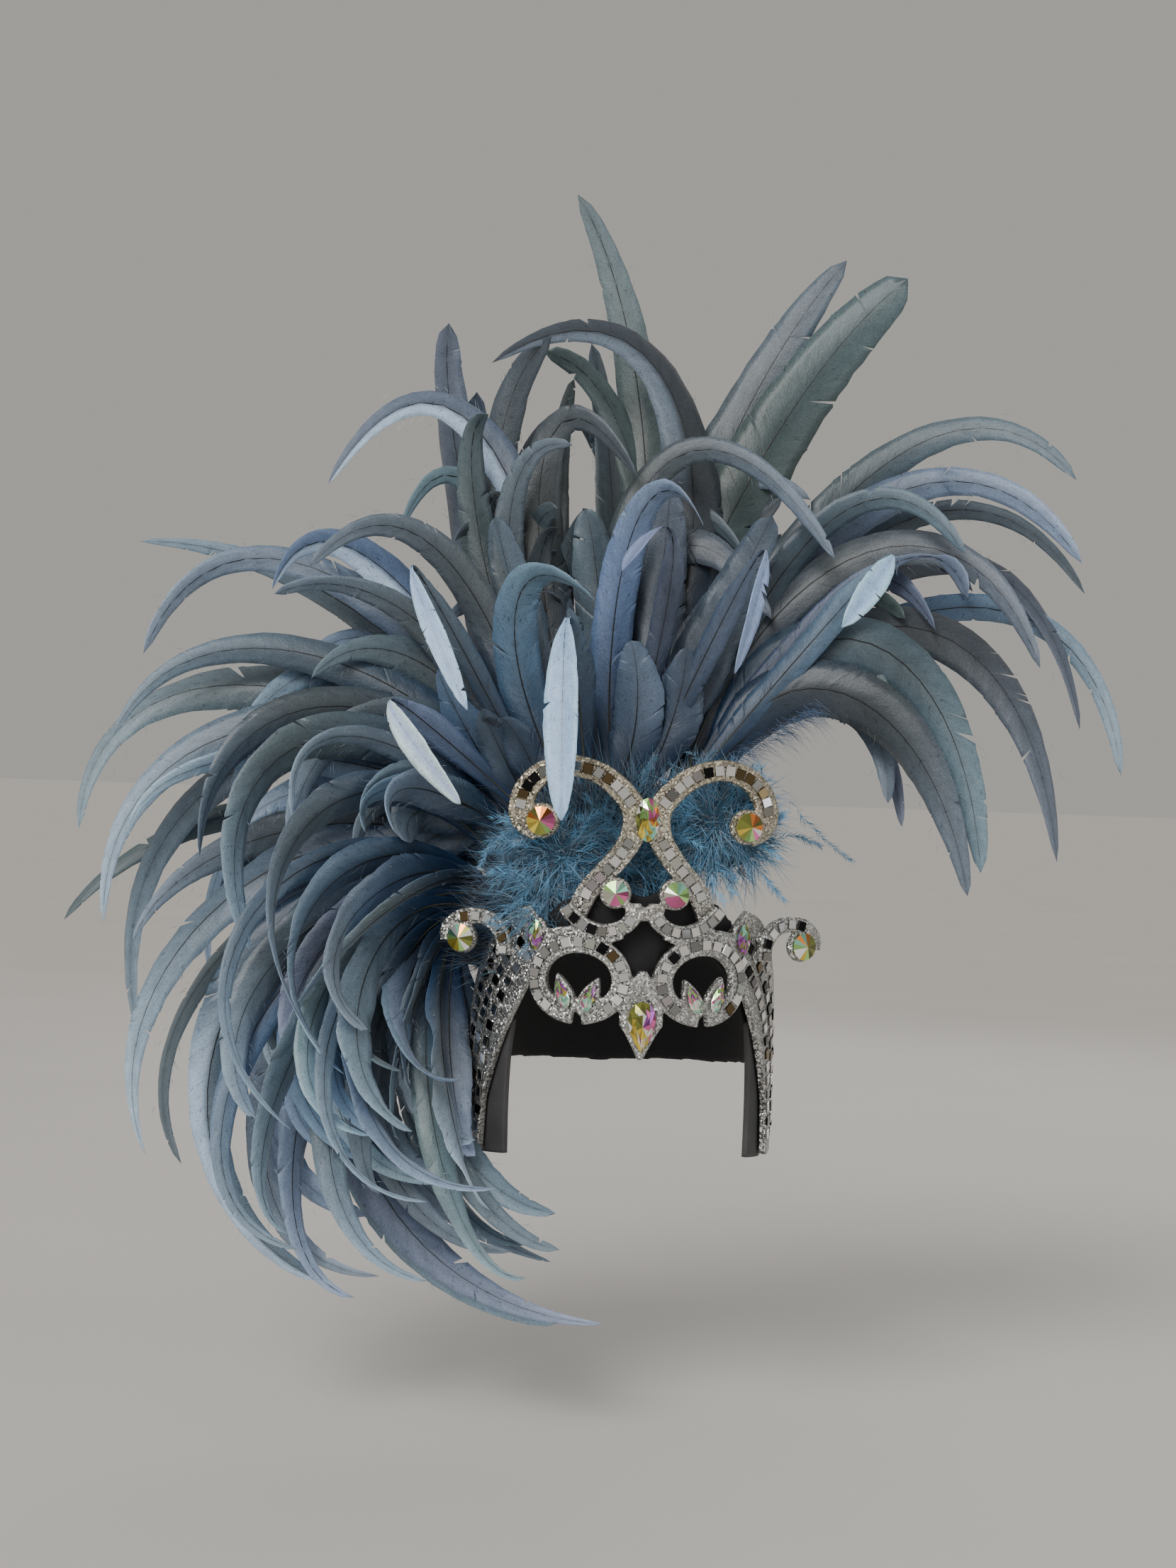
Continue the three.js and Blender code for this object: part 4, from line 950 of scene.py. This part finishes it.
class HEADDRESS_OT_stones(bpy.types.Operator):
    """The cut glass stones"""
    bl_idname = "headdress.stones"
    bl_label = "Stones"

    def execute(self, context):
        rng = np.random.default_rng(5)
        over = CROWN_TOP + STONE_LIFT

        def place(name, look, stand, outline, depth, table, crown_rows=2):
            skin = Skin()
            cut_stone(skin, stand, outline, depth, table, PALETTES[look], rng, crown_rows)
            glass = written("rainbow_stone", rainbow_stone)
            finish_piece(skin.make(f"{name}_glass", glass, smooth=False), "iridescent_glass", name)

        for word, side in SIDES:
            for name, stand, across in (
                ("horn", stand_on(side * HORN_STONE[0], HORN_STONE[1], HORN_TOP + STONE_LIFT), 16.5),
                ("mid", stand_on(side * MID_STONE[0], MID_STONE[1], over), 14.6),
                ("ear", stand_at_ear(side, FOAM + STONE_LIFT), 16),
            ):
                place(f"{name}_stone_{word}", name, stand, oval(across, across, FACETS), 5, 0.01, 1)
            place(f"temple_stone_{word}", "temple",
                  stand_on(side * TEMPLE_STONE[0], TEMPLE_STONE[1], over), oval(10, 17.5, 12), 3.6, 0.5)
            for which, (s, z, lean) in PEARS.items():
                place(f"pear_stone_{which}_{word}", "pear", stand_on(side * s, z, over, side * lean),
                      pear(8.8, 17.5, 12), 3.6, 0.5)
        place("crossing_stone", "crossing", stand_on(0, 64, HORN_TOP + 0.4), oval(13.5, 25, FACETS),
              4.5, 0.45)
        place("drop_stone", "drop", stand_on(0, -52, over, math.pi), pear(17, 28.5, FACETS), 5, 0.5)
        return {"FINISHED"}


# Feathers

EVEN, SPLITS, COLUMNS, FINE = 40, 7, 7, 160
STATIONS = EVEN + 3 * SPLITS
FULLNESS = 1.52                # vanes are fuller than the solids, which stand for them closed up
TUFT_LIGHT = 0.8
ROOT, ARCH, TIP = 0, (1, 2, 6), (3, 4, 7)      # columns of a feather's row
ROUND, WIDTH, PALE, DYE = 5, 8, 9, 10
QUILL_DARK, QUILL_PALE = np.array([0.016, 0.018, 0.02]), np.array([0.16, 0.17, 0.13])
CURL_PALE_AND_SHEEN = np.array([0.55, 0.72, 0.95])


def quill_lines(rows):
    """The middle line of each feather, as points, tangents and two cross ways. The line is a
    cubic Bezier curve: with m = (8 arch - root - tip) / 6, its handles are m - r (tip - root)
    and m + r (tip - root). The cross ways are carried along it without twist."""
    root = resample(ROOT_LINE, rows[:, ROOT])
    arch, tip = (sight(*rows[:, place].T) for place in (ARCH, TIP))
    mean, span = (8 * arch - root - tip) / 6, tip - root
    rise, fall = mean - rows[:, [ROUND]] * span, mean + rows[:, [ROUND]] * span
    t = np.linspace(0, 1, 240)[None, :, None]
    root, rise, fall, tip = (p[:, None] for p in (root, rise, fall, tip))
    curve = ((1 - t) ** 3 * root + 3 * (1 - t) ** 2 * t * rise
             + 3 * (1 - t) * t ** 2 * fall + t ** 3 * tip)
    curve = np.stack([resample(line, np.linspace(0, 1, FINE)) for line in curve])
    ahead = unit(np.gradient(curve, axis=1))
    side = np.empty_like(curve)
    side[:, 0] = unit(np.cross(ahead[:, 0], unit(STANDPOINT - curve[:, 0])))
    for step in range(1, FINE):
        carried = side[:, step - 1]
        along = (carried * ahead[:, step]).sum(-1, keepdims=True)
        side[:, step] = unit(carried - along * ahead[:, step])
    return curve, ahead, side, np.cross(side, ahead)


def pick_along(lines, share):
    """Values of (feathers, FINE, 3) arrays at shares of shape (feathers, ...), by interpolation."""
    at = np.clip(share, 0, 1) * (FINE - 1)
    low = np.minimum(at.astype(int), FINE - 2)
    blend = (at - low)[..., None]
    which = np.broadcast_to(np.arange(len(share)).reshape((-1,) + (1,) * (share.ndim - 1)), share.shape)
    return [line[which, low] * (1 - blend) + line[which, low + 1] * blend for line in lines]


def vane_stations(count, rng):
    """Shares along each vane, evenly spread but with three close together at each split, and
    how far the vane is cut there on either side."""
    even = np.broadcast_to(np.linspace(0, 1, EVEN), (count, EVEN))
    middle = rng.uniform(0.15, 0.985, (count, SPLITS))
    near = 0.0012 + 0.009 * rng.random((count, SPLITS)) ** 3
    along = np.concatenate([even, middle - near, middle, middle + near], 1)
    depth = rng.uniform(0.12, 0.85, (count, SPLITS, 1)) ** 1.4
    on_side = (rng.random((count, SPLITS, 1)) < 0.5) ^ np.array([False, True])
    cut = np.zeros((count, STATIONS, 2))
    cut[:, EVEN + SPLITS:EVEN + 2 * SPLITS] = depth * on_side
    order = np.argsort(along, 1)
    along = np.clip(np.take_along_axis(along, order, 1), 0, 1)
    return along, np.take_along_axis(cut, order[..., None], 1)


def vane_width(rows, curve, along, rng):
    """Half the width all along each vane, as a share of its widest. It grows from the quill,
    holds, and rounds off to a blunt tip. A pale feather that is folded forwards is narrow up to
    its fold, and a leaf shape beyond it."""
    def each(low, high):
        return rng.uniform(low, high, (len(rows), 1))

    bare = each(0.01, 0.04)
    grow = 0.3 + 0.7 * smoothstep(along, bare, bare + each(0.22, 0.34))
    blunt, hold, tip_width = each(10, 24), each(0.28, 0.5), each(0.12, 0.42)
    reach = rows[:, TIP] - rows[:, ARCH]
    tip_width = tip_width + 0.3 * smoothstep(reach[:, [1]], 60, 110)
    taper = 1 - (1 - tip_width) * smoothstep(along, hold, 1.08)
    close = np.maximum(1 - along ** blunt, 0) ** 0.5 * taper
    forwards = -reach[:, [2]] / np.hypot(reach[:, [0]], reach[:, [1]])
    folded = smoothstep(forwards, 0.28, 0.4) * (rows[:, [PALE]] > 0.85)
    fold = np.minimum(curve[:, :, 2].argmax(1)[:, None] / (FINE - 1), 0.85)
    beyond = np.clip((along - fold - 0.03) / (0.97 - fold), 0, 1) ** 0.85
    leaf = 0.14 + 0.74 * (4 * beyond * (1 - beyond)) ** 0.75
    before = 1 - 0.86 * smoothstep(along, fold - 0.22, fold + 0.02)
    close = close * (1 - folded) + folded * np.where(along < fold, before, leaf)
    close[:, -1] = np.minimum(close[:, -1], 0.05)
    return grow * close


def both_faces(top, under):
    """One ring round a vane: its upper face across, and its lower face back again."""
    return np.concatenate([top, under[:, :, ::-1]], 2)


def vane_faces():
    """The faces round one vane, with both sides cut along the same diagonals, and which of them
    are smooth: those of the rim are not."""
    columns, end = 2 * COLUMNS, (STATIONS - 1) * 2 * COLUMNS
    quads = grid_faces(STATIONS, columns, wrap=True)
    below = np.arange(end) % columns >= COLUMNS
    quads[below] = np.roll(quads[below], 1, axis=1)
    step = np.arange(COLUMNS - 1)
    quads = capped(quads, np.stack([step, step + 1, columns - 2 - step, columns - 1 - step], -1), end)
    smooth = np.ones(len(quads), bool)
    smooth[COLUMNS - 1:end:COLUMNS] = False
    return quads, smooth


def add_vanes(skin, rows, lines, colours, tone_and_painted_light, rng):
    """Vanes: a thin closed sheet, arched across, whose rows slant along the barbs, with a few
    splits between barbs. It turns a little about its quill, and its edges wave."""
    count = len(rows)
    curve, _, side, lift = lines
    length = np.linalg.norm(np.diff(curve, axis=1), axis=-1).sum(1)[:, None, None]

    def each(low, high):
        return rng.uniform(low, high, (count, 1, 1))

    along, cut = vane_stations(count, rng)
    across = np.linspace(-1, 1, COLUMNS)
    half = (rows[:, WIDTH] / 2 * FULLNESS)[:, None, None]
    wide = half[..., 0] * vane_width(rows, curve, along, rng)
    two = wide[..., None] * (1 + rng.normal(0, 0.02, (count, STATIONS, 2))) * (1 - cut)
    reach = two[:, :, np.where(across < 0, 0, 1)] * np.abs(across)    # feather, station, column
    a = along[..., None]
    slant = each(0.8, 1.15) * reach / length * (1 - a ** 6)
    middle, out, up = pick_along((curve, side, lift), a + slant)
    phase = each(0.7, 1.6) * a + rng.random((count, 1, 1))
    twist = each(-0.3, 0.3) + each(0.1, 0.35) * np.sin(2 * math.pi * phase)
    twist = (twist * smoothstep(a, 0.1, 0.45))[..., None]
    turned = out * np.cos(twist) + up * np.sin(twist)
    raised = up * np.cos(twist) - out * np.sin(twist)
    drop = each(0.12, 0.38) * reach ** 1.6 / half ** 0.6
    wave = rng.normal(0, 0.5, (count, 1, 1)) * np.minimum(length / 200, 1) ** 2 * np.sin(
        2 * math.pi * (6 * phase * length / 260 + across * 0.3))
    drop = drop + (wave + rng.normal(0, 0.015, reach.shape)) * reach / half
    sheet = middle + turned * (reach * np.sign(across))[..., None] - raised * drop[..., None]
    thick = raised * (0.20 - 0.14 * np.abs(across))[:, None]
    lower = -np.sign(side[:, int(0.75 * FINE), 2])
    uv = stack(np.abs(across) * 0.12, a * length / 300 + each(0, 9))
    quads, smooth = vane_faces()
    ring = both_faces(sheet + thick, sheet - thick)
    quads, = outward(ring[0], quads)
    tint = vane_colours(rows, along, across, colours, tone_and_painted_light, lower)
    skin.add(ring, copies(quads, STATIONS * 2 * COLUMNS, count), tint, both_faces(uv, uv),
             np.tile(smooth, count))


def vane_colours(rows, along, across, colours, tone_and_painted_light, lower):
    """Deep at the root, partly a darker dye and partly painted shade where the feathers crowd
    together; dyed in the middle; and paler to the tip as far as the row says, partly a paler dye
    and partly a painted highlight. It is darker beside the quill and paler at the edges, partly the
    vane's own colour and partly painted light through its thin edges. The underside is pale,
    partly its own paler colour and partly a painted satin sheen. Each feather has a tone of its
    own, times the painted light of its spray. A paleness below nothing is that of the lower half of
    the vane alone, which is painted with a bright satin highlight where it turns over."""
    root, green, grey, blue, tip, under = colours
    a = along[:, :, None, None]
    tone_and_painted_light = tone_and_painted_light[:, None, None]
    given, dye = (rows[:, k][:, None, None, None] for k in (PALE, DYE))
    inner = (lower[:, None] * across > 0)[:, None, :, None]
    pale = np.where(given < 0, np.where(inner, -given, 0.1), given)
    middle = (green + (grey - green) * np.clip(2 * dye, 0, 1)
              + (blue - grey) * np.clip(2 * dye - 1, 0, 1))
    start = smoothstep(a, 0.1, 0.55)
    end = smoothstep(a, 0.5, 0.96) * (0.12 + 0.88 * pale)
    tone = root / tone_and_painted_light ** 0.5 * (1 - start) + middle * start
    tone = tone * (1 - end) + tip * end
    # Turned-over lower halves take a pale colour that is mostly a painted satin highlight.
    turned = smoothstep(a, 0.42, 0.62) * inner * np.maximum(-given, 0)
    tone = tone * (1 - turned) + CURL_PALE_AND_SHEEN / tone_and_painted_light * turned
    # Darker beside the quill and paler at the edges: partly the vane's own colour, partly painted light
    # through the thin edges.
    beside = (0.78 + 0.36 * np.abs(across) ** 0.7)[:, None]
    # The underside: partly its own paler colour, partly a painted satin sheen, doubled where the vane
    # turns over.
    below = under * (0.3 + 0.7 * smoothstep(a, 0.1, 0.6)) * (0.35 + 0.65 * pale) * tone_and_painted_light * (1 + turned)
    return opaque(np.clip(both_faces(tone * tone_and_painted_light * beside, below * beside), 0, 1))


def add_quills(skin, rows, lines):
    """Quills: a tapered four-sided tube along the middle line."""
    count, stations, sides = len(rows), 26, 4
    share = np.broadcast_to(np.linspace(0, 0.97, stations), (count, stations))
    middle, out, up = pick_along((lines[0], *lines[2:]), share)
    radius = (0.24 + 0.62 * (1 - share) ** 1.3) * (rows[:, [WIDTH]] / 18) ** 0.4
    points = middle[:, :, None] + hoops(out, up, sides) * radius[..., None, None]
    fade = smoothstep(share, 0.02, 0.3)[..., None, None]
    tone = (QUILL_PALE * (1 - fade) + QUILL_DARK * fade) * np.ones((sides, 1))
    quads = capped(grid_faces(stations, sides, wrap=True), np.arange(4)[None], (stations - 1) * sides)
    quads, = outward(points[0], quads)
    skin.add(points, copies(quads, stations * sides, count), opaque(tone))


def strands(skin, root, way, length, width, colour, rng, droop):
    """Loose barbs: three-sided tapered tubes that bend to one side and down as they go."""
    count, steps = len(root), 3
    bend = unit(rng.normal(0, 1, (count, 3))) * rng.uniform(0.1, 0.45, (count, 1))
    share = np.linspace(0, 1, steps)[None, :, None]
    run = unit(way)[:, None] * share + bend[:, None] * share ** 2 - UP * droop * share ** 2
    middle = root[:, None] + run * length[:, None, None]
    ahead = unit(np.gradient(middle, axis=1))
    side = unit(np.cross(ahead, rng.normal(0, 1, (count, 1, 3))))
    radius = width[:, None, None, None] * (1 - 0.88 * share[..., None])
    ring = middle[:, :, None] + radius * hoops(side, np.cross(side, ahead), 3)
    ends = np.array([[2, 1, 0], [0, 1, 2]]) + np.array([[0], [(steps - 1) * 3]])
    quads, ends = outward(ring[0], grid_faces(steps, 3, wrap=True), ends)
    start = skin.count
    skin.add(ring, copies(quads, steps * 3, count), np.repeat(opaque(colour), steps * 3, 0))
    skin.join(copies(ends, steps * 3, count) + start)


def loose_barbs(skin, rows, lines, colours, tone_and_painted_light, rng, per_feather, low, high, longest, edge,
                brightness):
    """Loose barbs over a part of each feather, from beside the quill or from its edge."""
    count = per_feather * len(rows)
    which = rng.integers(0, len(rows), count)
    share = rng.uniform(low, high, count)
    place, way, out = (part[which, (share * (FINE - 1)).astype(int)] for part in lines[:3])
    out = out * np.where(rng.random(count) < 0.5, -1, 1)[:, None]
    root = place + out * rows[which][:, [WIDTH]] / 2 * FULLNESS * edge
    tone = vane_colours(rows[which], share[:, None], np.ones(1), colours, tone_and_painted_light[which], np.ones(count))
    way = way + out * rng.uniform(0.4, 1.0, (count, 1))
    strands(skin, root, way, longest * rng.uniform(0.45, 1, count), rng.uniform(0.08, 0.17, count),
            tone[:, 0, 0, :3] * brightness, rng, 0.08)


def fillers(rows, count, rng):
    """Shorter feathers between neighbours of a spray, set a little behind them. None of them
    folds forwards or starts beside the first feather, and none reaches past the side panel."""
    rows = np.array(sorted(rows.tolist()))
    reach = rows[:, TIP] - rows[:, ARCH]
    forwards = -reach[:, 2] / np.hypot(reach[:, 0], reach[:, 1])
    rows = rows[(forwards < 0.4) & (rows[:, ROOT] > 0.04)]
    first = rng.integers(0, len(rows), count)
    second = np.clip(first + rng.integers(-3, 4, count), 0, len(rows) - 1)
    blend = rng.random((count, 1))
    new = rows[first] * blend + rows[second] * (1 - blend)
    shorter = rng.uniform(0.5, 0.86, count)
    root = resample(ROOT_CHART, new[:, ROOT])
    for column, start in zip(ARCH[:2] + TIP[:2], np.tile(root.T, (2, 1))):
        new[:, column] = start + (new[:, column] - start) * shorter + rng.normal(0, 5, count)
    x, z, behind = TIP
    beside_cap = (new[:, z] < -20) & (new[:, z] > -172)
    new[:, x] = np.where(beside_cap, np.minimum(new[:, x], -92), new[:, x])
    new[:, [ARCH[2], behind]] += rng.uniform(2, 22, (count, 1))
    new[:, WIDTH] = rng.uniform(13, 20, count)
    new[:, PALE] = np.abs(new[:, PALE]) * rng.uniform(0.2, 0.8, count)
    return new


def tufts(span, count, rng):
    """Short dark feathers round the bound roots of a spray, in front of the long ones."""
    at = rng.uniform(*span, count)
    root = resample(ROOT_CHART, at)
    way = unit(root - [-20, -20]) + rng.normal(0, 0.22, (count, 2))
    long = rng.uniform(48, 96, (count, 1))
    arch, tip = root + way * long * 0.55, root + way * long + rng.normal(0, 7, (count, 2))
    behind = board_face(*root.T, ROOTS_BACK)[:, 1]
    return stack(at, *arch.T, *tip.T, 0.3, behind - rng.uniform(2, 10, count),
                 behind - rng.uniform(2, 26, count), rng.uniform(14, 21, count), 0.05,
                 rng.uniform(0.5, 1, count))


class HEADDRESS_OT_feathers(bpy.types.Operator):
    """The four sprays of feathers, with their quills, loose barbs and bound roots"""
    bl_idname = "headdress.feathers"
    bl_label = "Feathers"

    def execute(self, context):
        look = context.scene.headdress_feathers
        colours = [np.array(getattr(look, f"{part}_colour")) for part in
                   ("root", "green", "middle", "blue", "tip", "under")]
        looks = {"vanes": written("feather_vane", feather_vane),
                 "quills": written("feather_quill", feather_quill),
                 "barbs": written("down_barbs", down_barbs)}
        for number, (name, spray) in enumerate(SPRAYS.items()):
            rng = np.random.default_rng(40 + number)
            long = np.array(spray["rows"])
            long = np.concatenate([long, fillers(long, round(spray["fillers"] * look.fillers), rng)])
            every = np.concatenate([long, tufts(spray["span"], spray["tufts"], rng)])
            tone_and_painted_light = np.exp(rng.normal(0, 0.24, (len(every), 1)))
            tone_and_painted_light = tone_and_painted_light * (1 + rng.normal(0, 0.035, (len(every), 3)))
            # Painted light: each feather's random tone is multiplied by its spray's light, so sprays
            # nearer the lamps are painted brighter; the tufts take TUFT_LIGHT instead.
            tone_and_painted_light[:len(long)] *= spray["light"]
            tone_and_painted_light[len(long):] *= TUFT_LIGHT
            lines = quill_lines(every)
            skins = {part: Skin() for part in looks}
            add_vanes(skins["vanes"], every, lines, colours, tone_and_painted_light, rng)
            add_quills(skins["quills"], every, lines)
            for amounts in ((18, 0.08, 0.4, 20, 0.1, 1.2), (22, 0.3, 0.9, 7, 0.66, 1.0)):
                loose_barbs(skins["barbs"], every, lines, colours, tone_and_painted_light, rng, *amounts)
            for part, material in looks.items():
                finish_piece(skins[part].make(f"{name}_{part}", material), "feather",
                             *([name] if part == "vanes" else []))
            binding = Skin()
            bound = resample(ROOT_LINE, np.linspace(*spray["span"], 60))
            rib = 1 + 0.03 * np.sin(np.linspace(0, 60 * math.pi, 60))
            band(binding, bound[:, [0, 2]], 22 * rib, BOARD_THICK + 0.6, 8, board_face, 2.5, strips=4)
            binding = binding.make(f"{name}_binding", black_foam(context), attributes=False)
            finish_piece(binding, "black_foam")
        return {"FINISHED"}


def plume(skin, start, run, per_stem, barb, colour, rng):
    """Soft plumes: barbs set along both sides of curved stems, shorter towards the tip. A stem
    bows to one side, by up to a quarter of its run."""
    stems, count = len(start), len(start) * per_stem
    which = np.repeat(np.arange(stems), per_stem)
    share = np.sqrt(rng.random(count))[:, None]
    bow = (np.cross(run, [0, 1, 0]) * rng.uniform(-0.25, 0.25, (stems, 1)))[which]
    run = run[which]
    place = start[which] + run * share + bow * (4 * share * (1 - share))
    ahead = unit(run + bow * (4 - 8 * share))
    side = unit(np.cross(ahead, [0, 1, 0])) * np.where(rng.random(count) < 0.5, -1, 1)[:, None]
    way = ahead + side * rng.uniform(0.3, 0.9, (count, 1)) + rng.normal(0, 0.15, (count, 3))
    tone = np.clip(colour[which] * rng.uniform(0.75, 1.3, (count, 1)), 0, 1)
    strands(skin, place, way, barb * rng.uniform(0.5, 1, count) * (1.2 - 0.7 * share[:, 0]),
            rng.uniform(0.14, 0.28, count), tone, rng, 0.1)


def puff(core, fluff, x, z, wide, high, base, locks, rng):
    """One puff of down: a lumpy core, painted at half the down's colour as painted shade inside the
    puff, strands out of its front that lie in locks, and plumes.
    """
    lat, lon = np.meshgrid(np.linspace(0, math.pi, 30), np.linspace(0, 2 * math.pi, 48, endpoint=False),
                           indexing="ij")
    bumps = 0.86 + 0.06 * np.sin(5 * lon + x) * np.sin(4 * lat) + 0.04 * np.sin(9 * lat + 3 * lon)
    ball = stack(np.sin(lat) * np.cos(lon) * wide, np.sin(lat) * np.sin(lon) * 5, np.cos(lat) * high)
    # Painted shade: the core is half as bright as the down around it.
    add_tube(core, ball * bumps[..., None] + [x, BOARD_FRONT - 6.5, z], np.r_[base * 0.5, 1])
    count = 2 * wide * high
    turn = rng.uniform(0, 2 * math.pi, count)
    ring = np.sqrt(rng.random(count))
    depth = 6 + 8 * np.sqrt(1 - ring ** 2 * 0.96) * rng.uniform(0.3, 1, count)
    root = stack(x + ring * wide * np.cos(turn), BOARD_FRONT - depth, z + ring * high * np.sin(turn))
    lean, shade = (part[(np.floor(turn * 9) + np.floor(ring * 4) * 60).astype(int)] for part in locks)
    way = stack(np.cos(turn) * (0.4 + ring), -0.2, np.sin(turn) * (0.4 + ring)) + lean
    tone = np.clip(base * shade * rng.uniform(0.7, 1.35, (count, 1)), 0, 1)
    strands(fluff, root, way + rng.normal(0, 0.15, (count, 3)), rng.uniform(8, 24, count),
            rng.uniform(0.16, 0.36, count), tone, rng, 0.2)
    count = wide * high // 30
    turn = rng.uniform(0, 2 * math.pi, count)
    start = stack(x + 0.6 * wide * np.cos(turn), BOARD_FRONT - rng.uniform(8, 14, count),
                  z + 0.6 * high * np.sin(turn))
    way = stack(np.cos(turn) + rng.normal(0, 0.4, count), rng.uniform(-0.2, 0.0, count),
                np.maximum(np.sin(turn) + rng.normal(0, 0.4, count), -0.3))
    plume(fluff, start, unit(way) * rng.uniform(16, 32, (count, 1)), 44, 11,
          base * rng.uniform(0.5, 2.4, (count, 1)), rng)


def root_fringe(skin, count, base, deep, rng):
    """Dark down along the feathers' roots, tinged with the down's own colour higher up."""
    line = smooth_line(RAIL, LINE_STEPS)
    which = rng.integers(0, LINE_STEPS, count)
    line, side = line[which], leftward(line)[which]
    flat = line - side * rng.uniform(-13, 11, (count, 1))
    place = board_face(*flat.T, rng.uniform(-4, 6, count))
    out = stack(side[:, 1], -side[:, 0]) * rng.normal(0, 0.35, (count, 1)) - side
    way = stack(out[:, 0], rng.normal(0, 0.12, count) - 0.12, out[:, 1])
    tone = deep * rng.uniform(0.7, 3.2, (count, 1)) * (1 + rng.normal(0, 0.06, (count, 3)))
    tinged = rng.random((count, 1)) < np.clip(0.3 + line[:, 1:] / 250, 0, 1)
    tone = np.where(tinged, base * rng.uniform(0.4, 1.2, (count, 1)), tone)
    strands(skin, place, way, rng.uniform(12, 32, count), rng.uniform(0.2, 0.45, count),
            np.clip(tone, 0, 1), rng, 0.05)


def edge_barbs(skin, count, deep, rng):
    """Dark barbs under the lowest feather on the right."""
    edge = [64, 99] + rng.random((count, 1)) * [50, 31] + rng.normal(0, 2, (count, 2))
    way = stack(rng.uniform(0.6, 1.2, count), rng.normal(-0.1, 0.1, count),
                rng.uniform(-0.6, 0.2, count))
    tone = np.clip(deep * 3.5 * rng.uniform(0.6, 1.3, (count, 1)), 0, 1)
    strands(skin, sight(*edge.T, -50), way, rng.uniform(9, 17, count), rng.uniform(0.1, 0.18, count),
            tone, rng, 0.3)


class HEADDRESS_OT_down(bpy.types.Operator):
    """The teal down between the horns and the board, and the dark down along the feathers' roots"""
    bl_idname = "headdress.down"
    bl_label = "Down"

    def execute(self, context):
        look = context.scene.headdress_feathers
        # deep is the feathers' root colour, which is partly painted shade; the dark root fringe and edge
        # barbs are coloured from it.
        base, deep = np.asarray(look.down_colour), np.asarray(look.root_colour)
        rng = np.random.default_rng(77)
        fluff, core, fringe = Skin(), Skin(), Skin()
        locks = rng.normal(0, 0.55, (LOCKS, 3)), rng.uniform(0.4, 2.3, (LOCKS, 1))
        for x, z, wide, high in PUFFS:
            puff(core, fluff, x, z, wide, high, base, locks, rng)
        x, z, tip_x, tip_z = np.transpose(WISPS)
        plume(fluff, stack(x, BOARD_FRONT - 12, z), stack(tip_x - x, -4, tip_z - z), 120, 8,
              base * rng.uniform(0.9, 1.8, (len(WISPS), 1)), rng)
        root_fringe(fringe, FRINGE_STRANDS, base, deep, rng)
        edge_barbs(fringe, EDGE_BARBS, deep, rng)
        down = written("down_barbs", down_barbs)
        finish_piece(core.make("down_core", down), "down", "down_fluff")
        finish_piece(fluff.make("down_strands", down), "down")
        finish_piece(fringe.make("root_down", down), "feather")
        return {"FINISHED"}


class HEADDRESS_PT_panel(bpy.types.Panel):
    """Lists the pieces of the headdress, and their settings"""
    bl_idname = "HEADDRESS_PT_panel"
    bl_label = "Headdress"
    bl_space_type = "VIEW_3D"
    bl_region_type = "UI"
    bl_category = "Headdress"

    def draw(self, context):
        for operator in OPERATORS:
            self.layout.operator(operator.bl_idname)
        for name, group in GROUPS.items():
            for setting in group.__annotations__:
                self.layout.prop(getattr(context.scene, name), setting)


OPERATORS = (
    HEADDRESS_OT_stage, HEADDRESS_OT_cap, HEADDRESS_OT_scrolls, HEADDRESS_OT_mirrors,
    HEADDRESS_OT_stones, HEADDRESS_OT_down, HEADDRESS_OT_feathers,
)
GROUPS = {"headdress_crown": HEADDRESS_PG_crown, "headdress_feathers": HEADDRESS_PG_feathers,
          "headdress_stage": HEADDRESS_PG_stage}
CLASSES = (*GROUPS.values(), *OPERATORS, HEADDRESS_PT_panel)


def register():
    for cls in CLASSES:
        bpy.utils.register_class(cls)
    for name, group in GROUPS.items():
        setattr(bpy.types.Scene, name, PointerProperty(type=group))


def unregister():
    for name in GROUPS:
        delattr(bpy.types.Scene, name)
    for cls in reversed(CLASSES):
        bpy.utils.unregister_class(cls)


def main():
    register()
    bpy.ops.headdress.stage()
    bpy.ops.headdress.cap()
    bpy.ops.headdress.scrolls()
    bpy.ops.headdress.mirrors()
    bpy.ops.headdress.stones()
    bpy.ops.headdress.down()
    bpy.ops.headdress.feathers()


if __name__ == "__main__":
    main()
